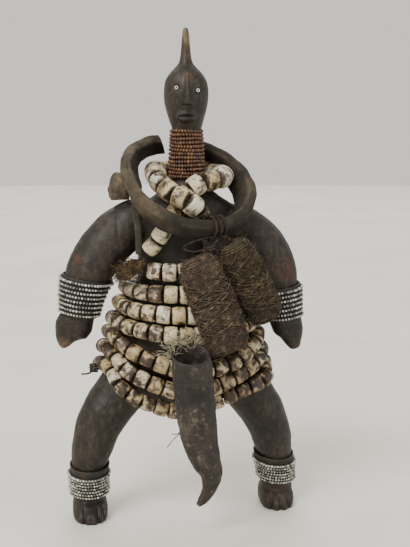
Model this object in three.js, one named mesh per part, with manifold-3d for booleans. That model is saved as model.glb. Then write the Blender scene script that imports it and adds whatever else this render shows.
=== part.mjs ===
// A namji doll: a dark carved wooden figure with a bead choker, a stiff hide collar, a long string of
// shell beads crossed on the chest, three strings round the waist and three round the hips, two bundles
// wound with fibre twine, a hollow horn, and cuffs of seed beads on hide at the wrists and ankles.
// Millimetres, +Z up. It stands on its soles at z = 0 and faces -Y, with its right hand on the -X side.

import * as THREE from 'three';
import { mergeVertices } from 'three/addons/utils/BufferGeometryUtils.js';
import Module from 'manifold-3d';

const wasm = await Module();
wasm.setup();

// Driving sizes
const GAP = 0.3; // clear space between two pieces that touch
const NECK = { x: 0.8, y: 3 };
const CHOKER = { bottom: 224.6, top: 256.2, rows: 13, topRadius: 11, bottomRadius: 12.7 };
const SEED_BEAD = 2; // thickness of a winding of seed beads
const SEED_VALLEY = 0.7; // depth of the groove between two of its rows
const SHELL_BEAD = { length: 9.5, frontRadius: 5.7, sideRadius: 4.6, belly: 1.04, valley: 0.8 };
const CHEST_BEAD = { length: 9.8, radius: 6.4, lowRadius: 5.4, lowBelow: 204 };
const COLLAR = {
  centre: [-0.6, -8.9, 220.6], tilt: 38, roll: 13.9, radius: 39.1, widen: 1.08,
  thickness: 8.6, height: 12.6, firstEnd: 117, secondEnd: 465, steps: 19, endSlant: 0.45,
  flares: [{ at: 190, most: 40, spread: 0.5, taller: 4.5 }, { at: 360, most: 20, spread: 0.5, taller: 2 }],
};
const HORN = { wall: 1.6, mouthTilt: 24, sides: 12 };
const HIDE = 0.9; // thickness of the hide under the cuffs
const CUFF_ROOM = 0.8; // room between a limb and its hide cuff, and between the hide and its beads
const TWINE = 1.2; // diameter of the tie's twisted cord
const TIE_ROOM = 1.05; // room between the tie's turns and the collar's flat steps
const STRING_ROOM = 1.5; // room between the body's true curve and a girdle's beads
const LIMB_SIDES = 8;
const TRUNK_SIDES = 12;
const BEAD_SIDES = 5;
const GIRDLE_STEPS = 72;
const GIRDLE_SHAPE = 1.8; // how much wider than deep a girdle is
const WAIST = { x: -1.8, y: 3.8 };
const CORD_SIDES = 5;

// Trunk, neck, head and spike, from the crotch up: height, centre x, centre y, half width, half depth
const TRUNK = [
  [76, -2.2, 4, 17, 11], [81, -2.2, 4, 33, 18], [90, -2.2, 4, 44, 24], [103, -2.2, 4, 48.5, 26.5],
  [118, -2, 4, 45.5, 26], [134, -1.6, 4, 40.5, 24.5], [152, -1, 3.6, 33, 22.5], [168, -0.6, 3.3, 30.5, 21.5],
  [184, -0.2, 3, 32, 19.6], [197, 0.2, 3, 34.5, 19.2], [206, 0.5, 3, 31, 17.4], [213, 0.7, 3, 22, 14.5],
  [219, 0.8, 3, 14, 12], [223.6, 0.8, 3, 10.2, 10.2], [259, 0.8, 3, 8.3, 8.3],
];
const HEAD = [
  [256.5, 0.9, 2.5, 9.6, 10.5], [262, 0.6, 2, 11.2, 12], [267.5, 0.5, 1.6, 12.8, 13.4],
  [272.5, 0.4, 1.4, 13.9, 14.4], [277.8, 0.4, 1.3, 14.3, 14.8], [283.1, 0.4, 1.3, 14, 14.3],
  [287.1, 0.3, 1.4, 13, 13], [291.3, 0.3, 1.6, 10.4, 10.6], [295.4, 0.3, 1.8, 6.6, 7],
  [298.5, 0.3, 2, 4.3, 4.8], [303.8, 0.3, 2.2, 3.3, 3.8], [308.9, 0.3, 2.3, 2.8, 3.2],
  [316, 0.3, 2.3, 2.2, 2.6], [320, 0.3, 2.3, 1.3, 1.4],
];

// Limbs, from the body out: x, y, z, half width across the limb, half depth
const RIGHT_ARM = [
  [-20, 3, 199, 12, 13], [-33, 3, 196.5, 15, 14.5], [-43, 2.5, 190, 16, 15.5], [-50.6, 2, 183, 16, 15.5],
  [-57, 1.4, 175, 15.8, 15.2], [-62, 1, 167, 15.2, 14.6], [-65.6, 0.6, 159.5, 13.8, 13.4],
  [-68, 0.4, 150, 12, 11.9], [-70, 0.2, 137.5, 10.2, 10.4], [-72.8, 0, 131.2, 12.2, 9.8],
  [-76, 0, 127.4, 10.8, 8.6], [-78.8, 0, 122.4, 7.2, 6], [-80.3, 0, 117.8, 4, 3.6], [-81.1, 0, 115, 1.3, 1.3],
];
const LEFT_ARM = [
  [20, 3, 197, 12, 13], [33, 3, 192.5, 15, 14.5], [42, 3, 187, 16, 15.5], [49.5, 2.6, 180, 16, 15.5],
  [54.8, 2.2, 172, 15.6, 15.2], [58.4, 2, 164, 15.2, 14.6], [61, 1.8, 155, 13.6, 13.2],
  [63, 1.6, 145, 11.6, 11.8], [65.2, 1.4, 132.6, 9.9, 10.4], [67.9, 1.2, 126.6, 10.6, 8.6],
  [70.4, 1, 121.8, 8.8, 7.2], [72.4, 1, 115, 5.7, 5.2], [73.6, 1, 110.4, 3, 3.4],
];
const RIGHT_LEG = [
  [-24, 4, 106, 16, 16], [-36.6, 3.5, 93, 17, 16.5], [-46.4, 2, 81, 16.6, 16.2], [-54, 0.5, 70.6, 16, 15.5],
  [-59, -0.8, 61, 15, 14.5], [-62.5, -1, 50, 13.8, 13.6], [-64.6, 0.5, 39, 11.9, 12.3],
  [-65.2, 2.2, 26, 10, 10.8], [-65, 3.6, 12, 10.6, 10.8], [-65, 3.8, 6, 11, 11],
];
const LEFT_LEG = [
  [21, 5, 106, 16, 16], [33, 5.5, 93, 16.6, 16.5], [43.2, 6, 80, 16, 16.2], [50.5, 6, 69.6, 15.2, 15.5],
  [55.5, 6, 60, 14.2, 14.5], [59, 6.5, 49, 13.4, 13.6], [61, 8, 38, 11.9, 12.3], [62.5, 10, 25, 10, 10.8],
  [63.5, 12, 12, 10.6, 10.8], [63.4, 12.5, 6, 11, 11],
];
// Each foot's middle, its two ends, and the notches between its toes: how far aside and how far back
const FEET = {
  right: { x: -64.8, heel: 20, toe: -17.5, notches: [[-4.2, 1.5], [4.6, 1.6], [8.4, 4.4]] },
  left: { x: 62.8, heel: 29, toe: -8, notches: [[-5.6, 2], [0.4, 0], [6, 2.2]] },
};
// A foot from heel to toes: share of its length, half width, height
const FOOT = [
  [0, 6, 8], [0.12, 9, 14], [0.35, 11.2, 17], [0.6, 11.6, 14], [0.75, 11, 11.5], [0.87, 9, 9],
  [0.95, 6.4, 7], [1, 3.6, 5],
];
const NOTCH = { halfWidth: 1.3, depth: 6 };

const FACE = {
  x: -0.6, eyes: [[-7.2, 282.3], [6.4, 280.6]], eyeRadius: 1.6, eyeDepth: 2,
  mouth: { z: 264.4, y: -9.6, halfWidth: 7, halfDepth: 4.6, halfHeight: 4.2, slitWidth: 11, slitHeight: 0.9 },
};
// The nose from its flat base up to the brow: height, half width, how proud of the face it stands
const NOSE = [[272, 3.4, 3.4], [279, 2.5, 2.6], [291, 1.1, -0.6]];

// Places round the waist in degrees, from the front towards the left flank (+X), and the heights of each
// string's centre at them
const PLACES = [-90, -60, -30, 0, 30, 60, 90, 180];
const WAIST_STRINGS = [
  [154.2, 153.9, 153.2, 152.7, 152.1, 151.3, 151, 151.5],
  [144, 143.1, 141, 139.4, 140, 140.7, 141, 139.5],
  [134, 132.5, 129.2, 126.5, 128.2, 130.3, 131.2, 127.8],
];
const HIP_STRINGS = [
  [125, 122.5, 113, 104.5, 107.5, 118.5, 121.5, 115.5],
  [115.2, 112.2, 98, 89, 96.6, 106.8, 111, 103.5],
  [104, 102, 82, 75.5, 84.5, 94, 102, 91.5],
];

// The long string: from its tuft up across the chest, round the nape, and down across the chest again
const CHEST_ROUTE = [
  [-26.4, -15, 179.6], [-22.6, -17.4, 184], [-16.4, -20.2, 193.6], [-9.6, -20.8, 204.6], [-3, -18.4, 214.2],
  [4, -17, 221], [12, -15.6, 223.9], [20.4, -10, 225.2], [23.8, -1, 226.4], [20, 8.4, 227],
  [13.4, 16.2, 227.6], [4.5, 21.8, 228], [-6, 21.4, 228], [-13.6, 16, 228.2], [-17.8, 8.4, 229],
  [-20.2, -0.8, 229.4], [-20.4, -10.5, 227], [-17.8, -19.4, 222], [-12.2, -27.4, 217.2],
  [-3.5, -31.6, 212.6], [4, -29.2, 207], [8.6, -24, 200.6], [10.6, -20.6, 191.4], [13.6, -20.8, 183],
  [9.5, -22.8, 174.5], [1, -24, 169], [-8.5, -23.6, 167], [-18, -21.6, 167], [-26.4, -17, 167.4],
];

const HORN_LINE = [
  [-4, -52.6, 120.3, 11.9], [-2.6, -50.2, 109, 12.6], [-1.2, -49, 96, 12.6], [0.6, -48.4, 78, 12.3],
  [3, -46.4, 63, 11.3], [6.6, -45.6, 51, 9.6], [10, -45, 41, 7.2], [9.2, -44.4, 31.5, 4.8],
  [4.6, -44, 23.4, 3], [1.6, -44, 20.2, 1.2],
];
const HORN_HOLLOW = [
  [0.6, -48.4, 78, 2], [-0.4, -48.6, 86, 8.4], [-1.2, -49, 96, 10.4], [-2.6, -50.2, 109, 11],
];

// Bundles: both ends of the axis, half width and half depth
const BUNDLES = {
  bundle_right: { top: [1.2, -41.5, 178.5], bottom: [22.4, -46.4, 120.5], halfWidth: 13.6, halfDepth: 11.6 },
  bundle_left: { top: [23.8, -40, 187], bottom: [47.4, -34.5, 138], halfWidth: 11.8, halfDepth: 10.6 },
};

// Turns of twisted cord round the collar at two places of its arc, its two tails and a slack loop
const TIE_TURNS = [-65.5, -56.5];
const TIE_TAILS = [
  { route: [[15, -39.4, 191], [13.4, -41, 187.4], [9, -42.2, 182.7]], radius: 1.6, steps: 3 },
  { route: [[15.6, -39.2, 191.2], [19.6, -39.6, 191], [22.6, -40, 188.3]], radius: 1.3, steps: 3 },
];
const TIE_LOOP = {
  route: [
    [14.6, -39.6, 191.4], [5, -41, 190], [-4.6, -42.2, 187], [-6.6, -42.4, 184.4], [-2, -42.6, 182.4],
    [5, -42.6, 183.4], [12.6, -41, 187.2],
  ],
  radius: TWINE / 2,
  steps: 9,
};
const HORN_STRING = {
  route: [
    [-16.5, -49, 115], [-15.6, -43.6, 121], [-10, -40.2, 126], [-3, -40.4, 128.8], [4.2, -41.6, 130.4],
  ],
  radius: 0.7,
  steps: 6,
};

// Brush of loose fibre at the end of the long string: x, y, z, half width, half depth
const TUFT = [
  [-28.6, -16.8, 173.4, 2.4, 2.4], [-32.4, -18.4, 171.2, 5, 4], [-38, -18.6, 168, 6.6, 4.6],
  [-43, -17, 165.4, 6, 4], [-46, -15.6, 164, 3.6, 2.6],
];
// Folded packet of hide between the collar and the right shoulder
const PACKET = [
  [-39.6, 5, 226.4, 4, 4], [-41.4, 4.6, 223.4, 7, 6.6], [-42.4, 4, 216.6, 7.6, 7],
  [-42.4, 3.5, 211, 5.4, 5.4],
];
// Strap of hide from under the collar down to the tuft
const STRAP = [
  [-35, -13.6, 209, 2.2, 0.9], [-33.4, -14.8, 200, 2.2, 0.9], [-32.4, -16.4, 190, 2.2, 0.9],
  [-32.4, -18, 178.2, 2.2, 0.9],
];

// Cuffs: heights of the hide's top edge, of the top row of beads and of the bottom edge, with the
// number of rows and how far the cuff leans down at the front and down towards +X, in degrees
const CUFFS = {
  wrist_right: { stations: RIGHT_ARM, hide: [161.8, 161, 137.4], rows: 8, lean: [4, 11] },
  wrist_left: { stations: LEFT_ARM, hide: [153.4, 152.6, 131.6], rows: 7, lean: [4, -9] },
  ankle_right: { stations: RIGHT_LEG, hide: [36.6, 31.6, 17], rows: 7, lean: [12, 0] },
  ankle_left: { stations: LEFT_LEG, hide: [37.6, 33.4, 19], rows: 7, lean: [12, 4] },
};

const WOOD = { color: 0x2b2420, roughness: 0.55, metalness: 0 };
const SHELL = { color: 0xcfc3a3, roughness: 0.6, metalness: 0 };
const HIDE_BROWN = { color: 0x3a332c, roughness: 0.75, metalness: 0 };
const SEEDS = { color: 0xb9b8b0, roughness: 0.35, metalness: 0 };
const BRICK = { color: 0x7a3a24, roughness: 0.4, metalness: 0 };
const FIBRE = { color: 0x54452f, roughness: 0.95, metalness: 0 };
const HORN_GREY = { color: 0x4a433b, roughness: 0.5, metalness: 0 };

const vec = (p) => new THREE.Vector3(p[0], p[1], p[2]);
const rad = THREE.MathUtils.degToRad;

// Points of one section, a superellipse on the half axes u and v
function section(centre, u, v, sides, power = 2, start = 0) {
  return Array.from({ length: sides }, (_, i) => {
    const angle = (2 * Math.PI * (i + start)) / sides;
    const along = Math.sign(Math.cos(angle)) * Math.abs(Math.cos(angle)) ** (2 / power);
    const across = Math.sign(Math.sin(angle)) * Math.abs(Math.sin(angle)) ** (2 / power);
    return centre.clone().addScaledVector(u, along).addScaledVector(v, across);
  });
}

// A closed skin over rings of points, with both ends capped, or joined end to end
function skin(rings, joined = false) {
  const sides = rings[0].length;
  const triangles = [];
  const steps = joined ? rings.length : rings.length - 1;
  for (let r = 0; r < steps; r++) {
    const near = r * sides;
    const far = ((r + 1) % rings.length) * sides;
    for (let i = 0; i < sides; i++) {
      const next = (i + 1) % sides;
      triangles.push(near + i, near + next, far + next, near + i, far + next, far + i);
    }
  }
  if (!joined) {
    const last = (rings.length - 1) * sides;
    for (let i = 1; i < sides - 1; i++) {
      triangles.push(0, i + 1, i, last, last + i, last + i + 1);
    }
  }
  return shell(rings.flat(), triangles);
}

function shell(points, triangles) {
  const geometry = new THREE.BufferGeometry().setFromPoints(points);
  let sixVolumes = 0;
  for (let i = 0; i < triangles.length; i += 3) {
    const [a, b, c] = [0, 1, 2].map((k) => points[triangles[i + k]]);
    sixVolumes += a.dot(b.clone().cross(c));
  }
  geometry.setIndex(sixVolumes > 0 ? triangles : triangles.reverse());
  return geometry;
}

function solid(geometry) {
  const bare = geometry.clone();
  bare.deleteAttribute('normal');
  bare.deleteAttribute('uv');
  const merged = mergeVertices(bare, 1e-4);
  return new wasm.Manifold(new wasm.Mesh({
    numProp: 3,
    vertProperties: merged.attributes.position.array,
    triVerts: new Uint32Array(merged.index.array),
  }));
}

function geometryOf(manifold) {
  const { vertProperties, triVerts, numProp } = manifold.getMesh();
  const points = [];
  for (let i = 0; i < vertProperties.length; i += numProp) {
    points.push(new THREE.Vector3(...vertProperties.slice(i, i + 3)));
  }
  return shell(points, Array.from(triVerts));
}

// Level sections through stations of height, centre and half sizes
function levelLoft(stations, sides) {
  const rings = stations.map(([z, x, y, halfWidth, halfDepth]) => section(
    new THREE.Vector3(x, y, z), new THREE.Vector3(halfWidth, 0, 0), new THREE.Vector3(0, halfDepth, 0), sides,
  ));
  return skin(rings);
}

// The plane of a limb's section: its width lies in the front view, its depth towards the back
function limbFrame(direction) {
  const width = new THREE.Vector3(0, 1, 0).cross(direction).normalize();
  return { width, depth: direction.clone().cross(width).normalize() };
}

function limbRings(stations, sides) {
  const centres = stations.map(vec);
  return stations.map(([, , , halfWidth, halfDepth], i) => {
    const before = centres[Math.max(i - 1, 0)];
    const after = centres[Math.min(i + 1, centres.length - 1)];
    const { width, depth } = limbFrame(after.clone().sub(before).normalize());
    return section(centres[i], width.multiplyScalar(halfWidth), depth.multiplyScalar(halfDepth), sides);
  });
}

const limbLoft = (stations, sides) => skin(limbRings(stations, sides));

function foot({ x, heel, toe }) {
  const rings = FOOT.map(([share, halfWidth, height]) => {
    const y = heel + (toe - heel) * share;
    const points = section(
      new THREE.Vector3(x, y, height * 0.4), new THREE.Vector3(halfWidth, 0, 0),
      new THREE.Vector3(0, 0, height * 0.6), LIMB_SIDES, 2.6, 0.5,
    );
    points.forEach((p) => { p.z = Math.max(p.z, 0); });
    return points;
  });
  return skin(rings);
}

// Narrow wedges between the toes
function toeNotches({ x, toe, notches }) {
  return notches.map(([aside, back]) => {
    const wedge = new THREE.Shape([
      new THREE.Vector2(-NOTCH.halfWidth, -2), new THREE.Vector2(NOTCH.halfWidth, -2),
      new THREE.Vector2(0, NOTCH.depth),
    ]);
    const cut = new THREE.ExtrudeGeometry(wedge, { depth: 20, bevelEnabled: false });
    return cut.translate(x + aside, toe + back, -2);
  });
}

// A long ridge from the brow that widens to a flat base
function nose() {
  const [, , cy, , halfDepth] = HEAD[4];
  const front = cy - halfDepth;
  const rings = NOSE.map(([z, halfWidth, proud]) => [
    new THREE.Vector3(FACE.x - halfWidth, front + halfDepth / 3, z),
    new THREE.Vector3(FACE.x + halfWidth, front + halfDepth / 3, z),
    new THREE.Vector3(FACE.x + halfWidth * 0.8, front - proud / 2, z),
    new THREE.Vector3(FACE.x, front - proud, z),
    new THREE.Vector3(FACE.x - halfWidth * 0.8, front - proud / 2, z),
  ]);
  return skin(rings);
}

function lips() {
  const { z, y, halfWidth, halfDepth, halfHeight } = FACE.mouth;
  return new THREE.SphereGeometry(1, 10, 6).scale(halfWidth, halfDepth, halfHeight).translate(FACE.x, y, z);
}

function mouthSlit() {
  const { z, y, halfDepth, slitWidth, slitHeight } = FACE.mouth;
  const slit = new THREE.BoxGeometry(slitWidth, halfDepth, slitHeight);
  return slit.translate(FACE.x, y - halfDepth, z + slitHeight / 2);
}

// The stations on both sides of a height, which is in the given column, and the values between them
function between(stations, z, column = 0) {
  const above = stations.findIndex((station, i) => i > 0
    && (station[column] - z) * (stations[i - 1][column] - z) <= 0);
  if (above < 0) {
    return null;
  }
  const [near, far] = [stations[above - 1], stations[above]];
  const share = (z - near[column]) / (far[column] - near[column]);
  return { near, far, values: near.map((value, i) => THREE.MathUtils.lerp(value, far[i], share)) };
}

// A point of the face's front surface beside the nose
function facePoint(x, z) {
  const [, cx, cy, halfWidth, halfDepth] = between(HEAD, z).values;
  return new THREE.Vector3(x, cy - halfDepth * Math.sqrt(1 - ((x - cx) / halfWidth) ** 2), z);
}

function figure() {
  let body = solid(levelLoft(TRUNK, TRUNK_SIDES));
  const added = [
    levelLoft(HEAD, TRUNK_SIDES), limbLoft(RIGHT_ARM, LIMB_SIDES), limbLoft(LEFT_ARM, LIMB_SIDES),
    limbLoft(RIGHT_LEG, LIMB_SIDES), limbLoft(LEFT_LEG, LIMB_SIDES), foot(FEET.right), foot(FEET.left),
    nose(), lips(),
  ];
  const cut = [...toeNotches(FEET.right), ...toeNotches(FEET.left), mouthSlit()];
  FACE.eyes.forEach(([x, z]) => {
    const place = facePoint(x, z);
    const radius = FACE.eyeRadius + GAP;
    const socket = new THREE.CylinderGeometry(radius, radius, 2 * FACE.eyeDepth, LIMB_SIDES);
    cut.push(socket.translate(place.x, place.y, place.z));
  });
  added.forEach((geometry) => { body = body.add(solid(geometry)); });
  cut.forEach((geometry) => { body = body.subtract(solid(geometry)); });
  return geometryOf(body);
}

function eye([x, z]) {
  const place = facePoint(x, z);
  const bead = new THREE.CylinderGeometry(FACE.eyeRadius, FACE.eyeRadius * 0.7, FACE.eyeDepth, LIMB_SIDES);
  return bead.translate(place.x, place.y + GAP, place.z);
}

// Rows of seed beads wound on the neck: a ribbed sleeve
function choker() {
  const { bottom, top, rows, topRadius, bottomRadius } = CHOKER;
  const radiusAt = (z) => bottomRadius + ((topRadius - bottomRadius) * (z - bottom)) / (top - bottom);
  const coreRadius = (z) => radiusAt(z) - SEED_BEAD;
  const profile = [new THREE.Vector2(coreRadius(bottom), bottom)];
  for (let row = 0; row < rows; row++) {
    const low = bottom + ((top - bottom) * row) / rows;
    const middle = low + (top - bottom) / rows / 2;
    profile.push(new THREE.Vector2(radiusAt(low) - SEED_VALLEY, low));
    profile.push(new THREE.Vector2(radiusAt(middle), middle));
  }
  profile.push(new THREE.Vector2(radiusAt(top) - SEED_VALLEY, top), new THREE.Vector2(coreRadius(top), top));
  profile.push(profile[0].clone());
  const sleeve = new THREE.LatheGeometry(profile, TRUNK_SIDES);
  return sleeve.rotateX(Math.PI / 2).rotateZ(Math.PI / 2).translate(NECK.x, NECK.y, 0);
}

// The ellipses in which a level plane cuts the trunk and the thighs: centre, half width, half depth
function levelCuts(z) {
  const cuts = [RIGHT_LEG, LEFT_LEG].map((leg) => between(leg, z, 2)).filter(Boolean)
    .map(({ near, far, values: [x, y, , halfWidth, halfDepth] }) => {
      const stretch = Math.hypot(far[0] - near[0], far[2] - near[2]) / Math.abs(far[2] - near[2]);
      return [x, y, halfWidth * stretch, halfDepth];
    });
  const trunk = between(TRUNK, z);
  return trunk ? [...cuts, trunk.values.slice(1)] : cuts;
}

// How far the body reaches at a height in a direction, turned from the front towards +X
const reach = (z, turn) => Math.max(...levelCuts(z).map(([x, y, halfWidth, halfDepth]) => (
  x * Math.sin(turn) - y * Math.cos(turn) + Math.hypot(halfWidth * Math.sin(turn), halfDepth * Math.cos(turn))
)));

// A string of beads: the skin narrows between two beads and widens at the middle of each. A corner of
// its section points away from the body and a flat side towards it.
function beadString(curve, beads, outwardAt, radiusAt, joined) {
  const rings = [];
  const steps = 2 * beads;
  const count = joined ? steps : steps + 1;
  for (let step = 0; step < count; step++) {
    const share = step / steps;
    const centre = curve.getPointAt(share);
    const along = curve.getTangentAt(share);
    const across = along.clone().cross(outwardAt(centre)).normalize();
    const outward = across.clone().cross(along).normalize();
    const radius = radiusAt(centre) * (step % 2 ? SHELL_BEAD.belly : SHELL_BEAD.valley);
    rings.push(section(
      centre, across.multiplyScalar(radius), outward.multiplyScalar(radius), BEAD_SIDES, 2, BEAD_SIDES / 20,
    ));
  }
  return skin(rings, joined);
}

const fromAxis = (centre) => new THREE.Vector3(centre.x - NECK.x, centre.y - NECK.y, 0).normalize();

// A girdle's beads are larger at the front and back than at the flanks
const blendRadius = (share) => THREE.MathUtils.lerp(SHELL_BEAD.sideRadius, SHELL_BEAD.frontRadius, share);

// Where a string drawn tight round the body at a height passes a place of its round. The round is an
// ellipse about the waist, as much wider than deep as the body, and the place is found by halving.
function tautPoint(z, place) {
  const nudge = rad(4);
  const point = new THREE.Vector3();
  let [low, high] = [place - Math.PI / 2, place + Math.PI / 2];
  for (let pass = 0; pass < 24; pass++) {
    const middle = (low + high) / 2;
    const turn = Math.atan2(Math.sin(middle) / GIRDLE_SHAPE, Math.cos(middle));
    const out = reach(z, turn) + blendRadius(Math.cos(turn) ** 2) + STRING_ROOM;
    const along = (reach(z, turn + nudge) - reach(z, turn - nudge)) / (2 * nudge);
    point.set(
      out * Math.sin(turn) + along * Math.cos(turn), -out * Math.cos(turn) + along * Math.sin(turn), z,
    );
    const [aside, back] = [(point.x - WAIST.x) / GIRDLE_SHAPE, point.y - WAIST.y];
    if (aside * Math.cos(place) + back * Math.sin(place) > 0) high = middle;
    else low = middle;
  }
  return point;
}

// A closed string drawn tight round the body, through its heights at the places of its round
function girdle(heights) {
  const knots = PLACES.map((place, i) => new THREE.Vector2(rad(place), heights[i]));
  const round = (knot, turns) => new THREE.Vector2(knot.x + turns * 2 * Math.PI, knot.y);
  const rise = new THREE.SplineCurve([
    round(knots.at(-1), -1), ...knots, round(knots[0], 1), round(knots[1], 1),
  ]);
  const points = Array.from({ length: GIRDLE_STEPS }, (_, step) => {
    const knot = 1 + (knots.length * step) / GIRDLE_STEPS;
    const { x: place, y: height } = rise.getPoint(knot / (knots.length + 2));
    return tautPoint(height, place);
  });
  const curve = new THREE.CatmullRomCurve3(points, true);
  curve.arcLengthDivisions = 400;
  const beads = Math.round(curve.getLength() / SHELL_BEAD.length);
  return beadString(curve, beads, fromAxis, (centre) => blendRadius(fromAxis(centre).y ** 2), true);
}

const chestRadius = ({ z }) => (z < CHEST_BEAD.lowBelow ? CHEST_BEAD.lowRadius : CHEST_BEAD.radius);

function chestString() {
  const curve = new THREE.CatmullRomCurve3(CHEST_ROUTE.map(vec));
  curve.arcLengthDivisions = 600;
  const beads = Math.round(curve.getLength() / CHEST_BEAD.length);
  return beadString(curve, beads, fromAxis, chestRadius, false);
}

// The collar's own axes: to its left end, to its high back, and its normal
function collarFrame() {
  const turn = new THREE.Euler(rad(COLLAR.tilt), 0, 0);
  const lean = new THREE.Euler(0, rad(COLLAR.roll), 0);
  return [[1, 0, 0], [0, 1, 0], [0, 0, 1]].map((axis) => vec(axis).applyEuler(turn).applyEuler(lean));
}

// At a place of its arc, how far the band leans outward and how much taller it stands
const collarFlare = (angle) => COLLAR.flares.reduce(([lean, rise], { at, most, spread, taller }) => {
  const near = Math.exp((Math.cos(angle - rad(at)) - 1) / spread ** 2);
  return [lean + rad(most) * near, rise + taller * near];
}, [0, 0]);

// The band's section leans about its outer top edge, so that its foot comes inward
function collarSection(angle, grow = 0) {
  const [across, back, normal] = collarFrame();
  const outward = across.clone().multiplyScalar(Math.cos(angle)).addScaledVector(back, Math.sin(angle));
  const [lean, rise] = collarFlare(angle);
  const through = outward.clone().multiplyScalar(Math.cos(lean)).addScaledVector(normal, -Math.sin(lean));
  const upward = normal.clone().multiplyScalar(Math.cos(lean)).addScaledVector(outward, Math.sin(lean));
  const [halfThickness, halfHeight] = [COLLAR.thickness / 2, (COLLAR.height + rise) / 2];
  const centre = vec(COLLAR.centre)
    .addScaledVector(across, COLLAR.radius * COLLAR.widen * Math.cos(angle))
    .addScaledVector(back, COLLAR.radius * Math.sin(angle))
    .addScaledVector(outward, halfThickness).addScaledVector(normal, COLLAR.height / 2)
    .addScaledVector(through, -halfThickness).addScaledVector(upward, -halfHeight);
  return section(
    centre, through.multiplyScalar(halfThickness + grow), upward.multiplyScalar(halfHeight + grow), 8, 4, 0.5,
  );
}

function collar() {
  const rings = [];
  for (let step = 0; step <= COLLAR.steps; step++) {
    const degrees = COLLAR.firstEnd + ((COLLAR.secondEnd - COLLAR.firstEnd) * step) / COLLAR.steps;
    rings.push(collarSection(rad(degrees)));
  }
  // The first end is cut on a slant, its foot reaching further round than its top
  const [across, back, normal] = collarFrame();
  const end = rad(COLLAR.firstEnd);
  const along = across.multiplyScalar(-Math.sin(end)).addScaledVector(back, Math.cos(end));
  const middle = centreOf(rings[0]);
  rings[0].forEach((p) => {
    p.addScaledVector(along, COLLAR.endSlant * p.clone().sub(middle).dot(normal));
  });
  return skin(rings);
}

// The horn is one skin: up the inside of its hollow, over the rim, and down the outside to the tip
function horn() {
  const tilt = rad(HORN.mouthTilt);
  const rim = new THREE.Vector3(0, -Math.sin(tilt), Math.cos(tilt));
  const line = HORN_LINE.map(vec);
  const ring = (centre, direction, radius) => {
    const { width, depth } = limbFrame(direction);
    return section(centre, width.multiplyScalar(radius), depth.multiplyScalar(radius), HORN.sides);
  };
  const outside = HORN_LINE.map(([, , , radius], i) => {
    const toTip = line[Math.min(i + 1, line.length - 1)].clone().sub(line[Math.max(i - 1, 0)]).normalize();
    return ring(line[i], i ? toTip.negate() : rim, radius);
  });
  const upright = new THREE.Vector3(0, -0.1, 1).normalize();
  const inside = HORN_HOLLOW.map(([x, y, z, radius]) => ring(new THREE.Vector3(x, y, z), upright, radius));
  inside.push(ring(line[0], rim, HORN_LINE[0][3] - HORN.wall));
  return skin([...inside, ...outside]);
}

// A bundle is a sausage of wound twine with rounded ends
function bundle({ top, bottom, halfWidth, halfDepth }) {
  const [high, low] = [vec(top), vec(bottom)];
  const { width, depth } = limbFrame(low.clone().sub(high).normalize());
  const shares = [[0, 0.62], [0.05, 0.88], [0.16, 1], [0.5, 1.02], [0.86, 1], [0.96, 0.9], [1, 0.66]];
  const rings = shares.map(([share, size]) => section(
    high.clone().lerp(low, share), width.clone().multiplyScalar(halfWidth * size),
    depth.clone().multiplyScalar(halfDepth * size), 10, 2.3,
  ));
  return skin(rings);
}

// A plain round cord through hand-placed points
function cord({ route, radius, steps }) {
  const curve = new THREE.CatmullRomCurve3(route.map(vec));
  const outline = new THREE.Shape(Array.from({ length: CORD_SIDES }, (_, i) => {
    const angle = (2 * Math.PI * i) / CORD_SIDES;
    return new THREE.Vector2(radius * Math.cos(angle), radius * Math.sin(angle));
  }));
  return new THREE.ExtrudeGeometry(outline, { steps, extrudePath: curve, bevelEnabled: false });
}

// The turns of the tie are one flat band round the collar
function bundleTie() {
  const outer = TIE_TURNS.map((degrees) => collarSection(rad(degrees), TIE_ROOM + TWINE));
  const inner = TIE_TURNS.map((degrees) => collarSection(rad(degrees), TIE_ROOM));
  let tie = solid(skin([...outer, ...inner.reverse()], true));
  [...TIE_TAILS, TIE_LOOP].forEach((part) => { tie = tie.add(solid(cord(part))); });
  return geometryOf(tie);
}

const centreOf = (points) => points.reduce((sum, p) => sum.add(p), new THREE.Vector3())
  .divideScalar(points.length);

// Where a plane that leans down at the front and towards +X cuts the limb's long edges
function limbOutline(rings, z, [front, side]) {
  const middle = centreOf(rings.find((ring) => centreOf(ring).z < z));
  const rise = (p) => p.z - z
    - (p.y - middle.y) * Math.tan(rad(front)) + (p.x - middle.x) * Math.tan(rad(side));
  return rings[0].map((_, i) => {
    const edge = rings.map((ring) => ring[i]);
    const below = edge.findIndex((p) => rise(p) < 0);
    const [high, low] = [edge[below - 1], edge[below]];
    return high.clone().lerp(low, rise(high) / (rise(high) - rise(low)));
  });
}

// A cuff follows its limb: a sleeve between two heights, ribbed where it is rows of beads
function sleeve(stations, { levels, grow, thickness, rows = 0, lean }) {
  const rings = limbRings(stations, LIMB_SIDES);
  const ringAt = (z, extra) => {
    const outline = limbOutline(rings, z, lean);
    const centre = centreOf(outline);
    return outline.map((p) => {
      const outward = p.clone().sub(centre).setZ(0).normalize();
      return p.clone().addScaledVector(outward, extra);
    });
  };
  const [top, bottom] = [levels[0], levels[levels.length - 1]];
  const outside = rows
    ? Array.from({ length: 2 * rows + 1 }, (_, step) => ringAt(
      top + ((bottom - top) * step) / (2 * rows), grow + thickness - (step % 2 ? 0 : SEED_VALLEY),
    ))
    : levels.map((z) => ringAt(z, grow + thickness));
  return skin([...outside, ...levels.map((z) => ringAt(z, grow)).reverse()], true);
}

const doll = new THREE.Group();

function piece(name, geometry, finish) {
  const mesh = new THREE.Mesh(geometry, new THREE.MeshStandardMaterial(finish));
  mesh.name = name;
  doll.add(mesh);
}

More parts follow.
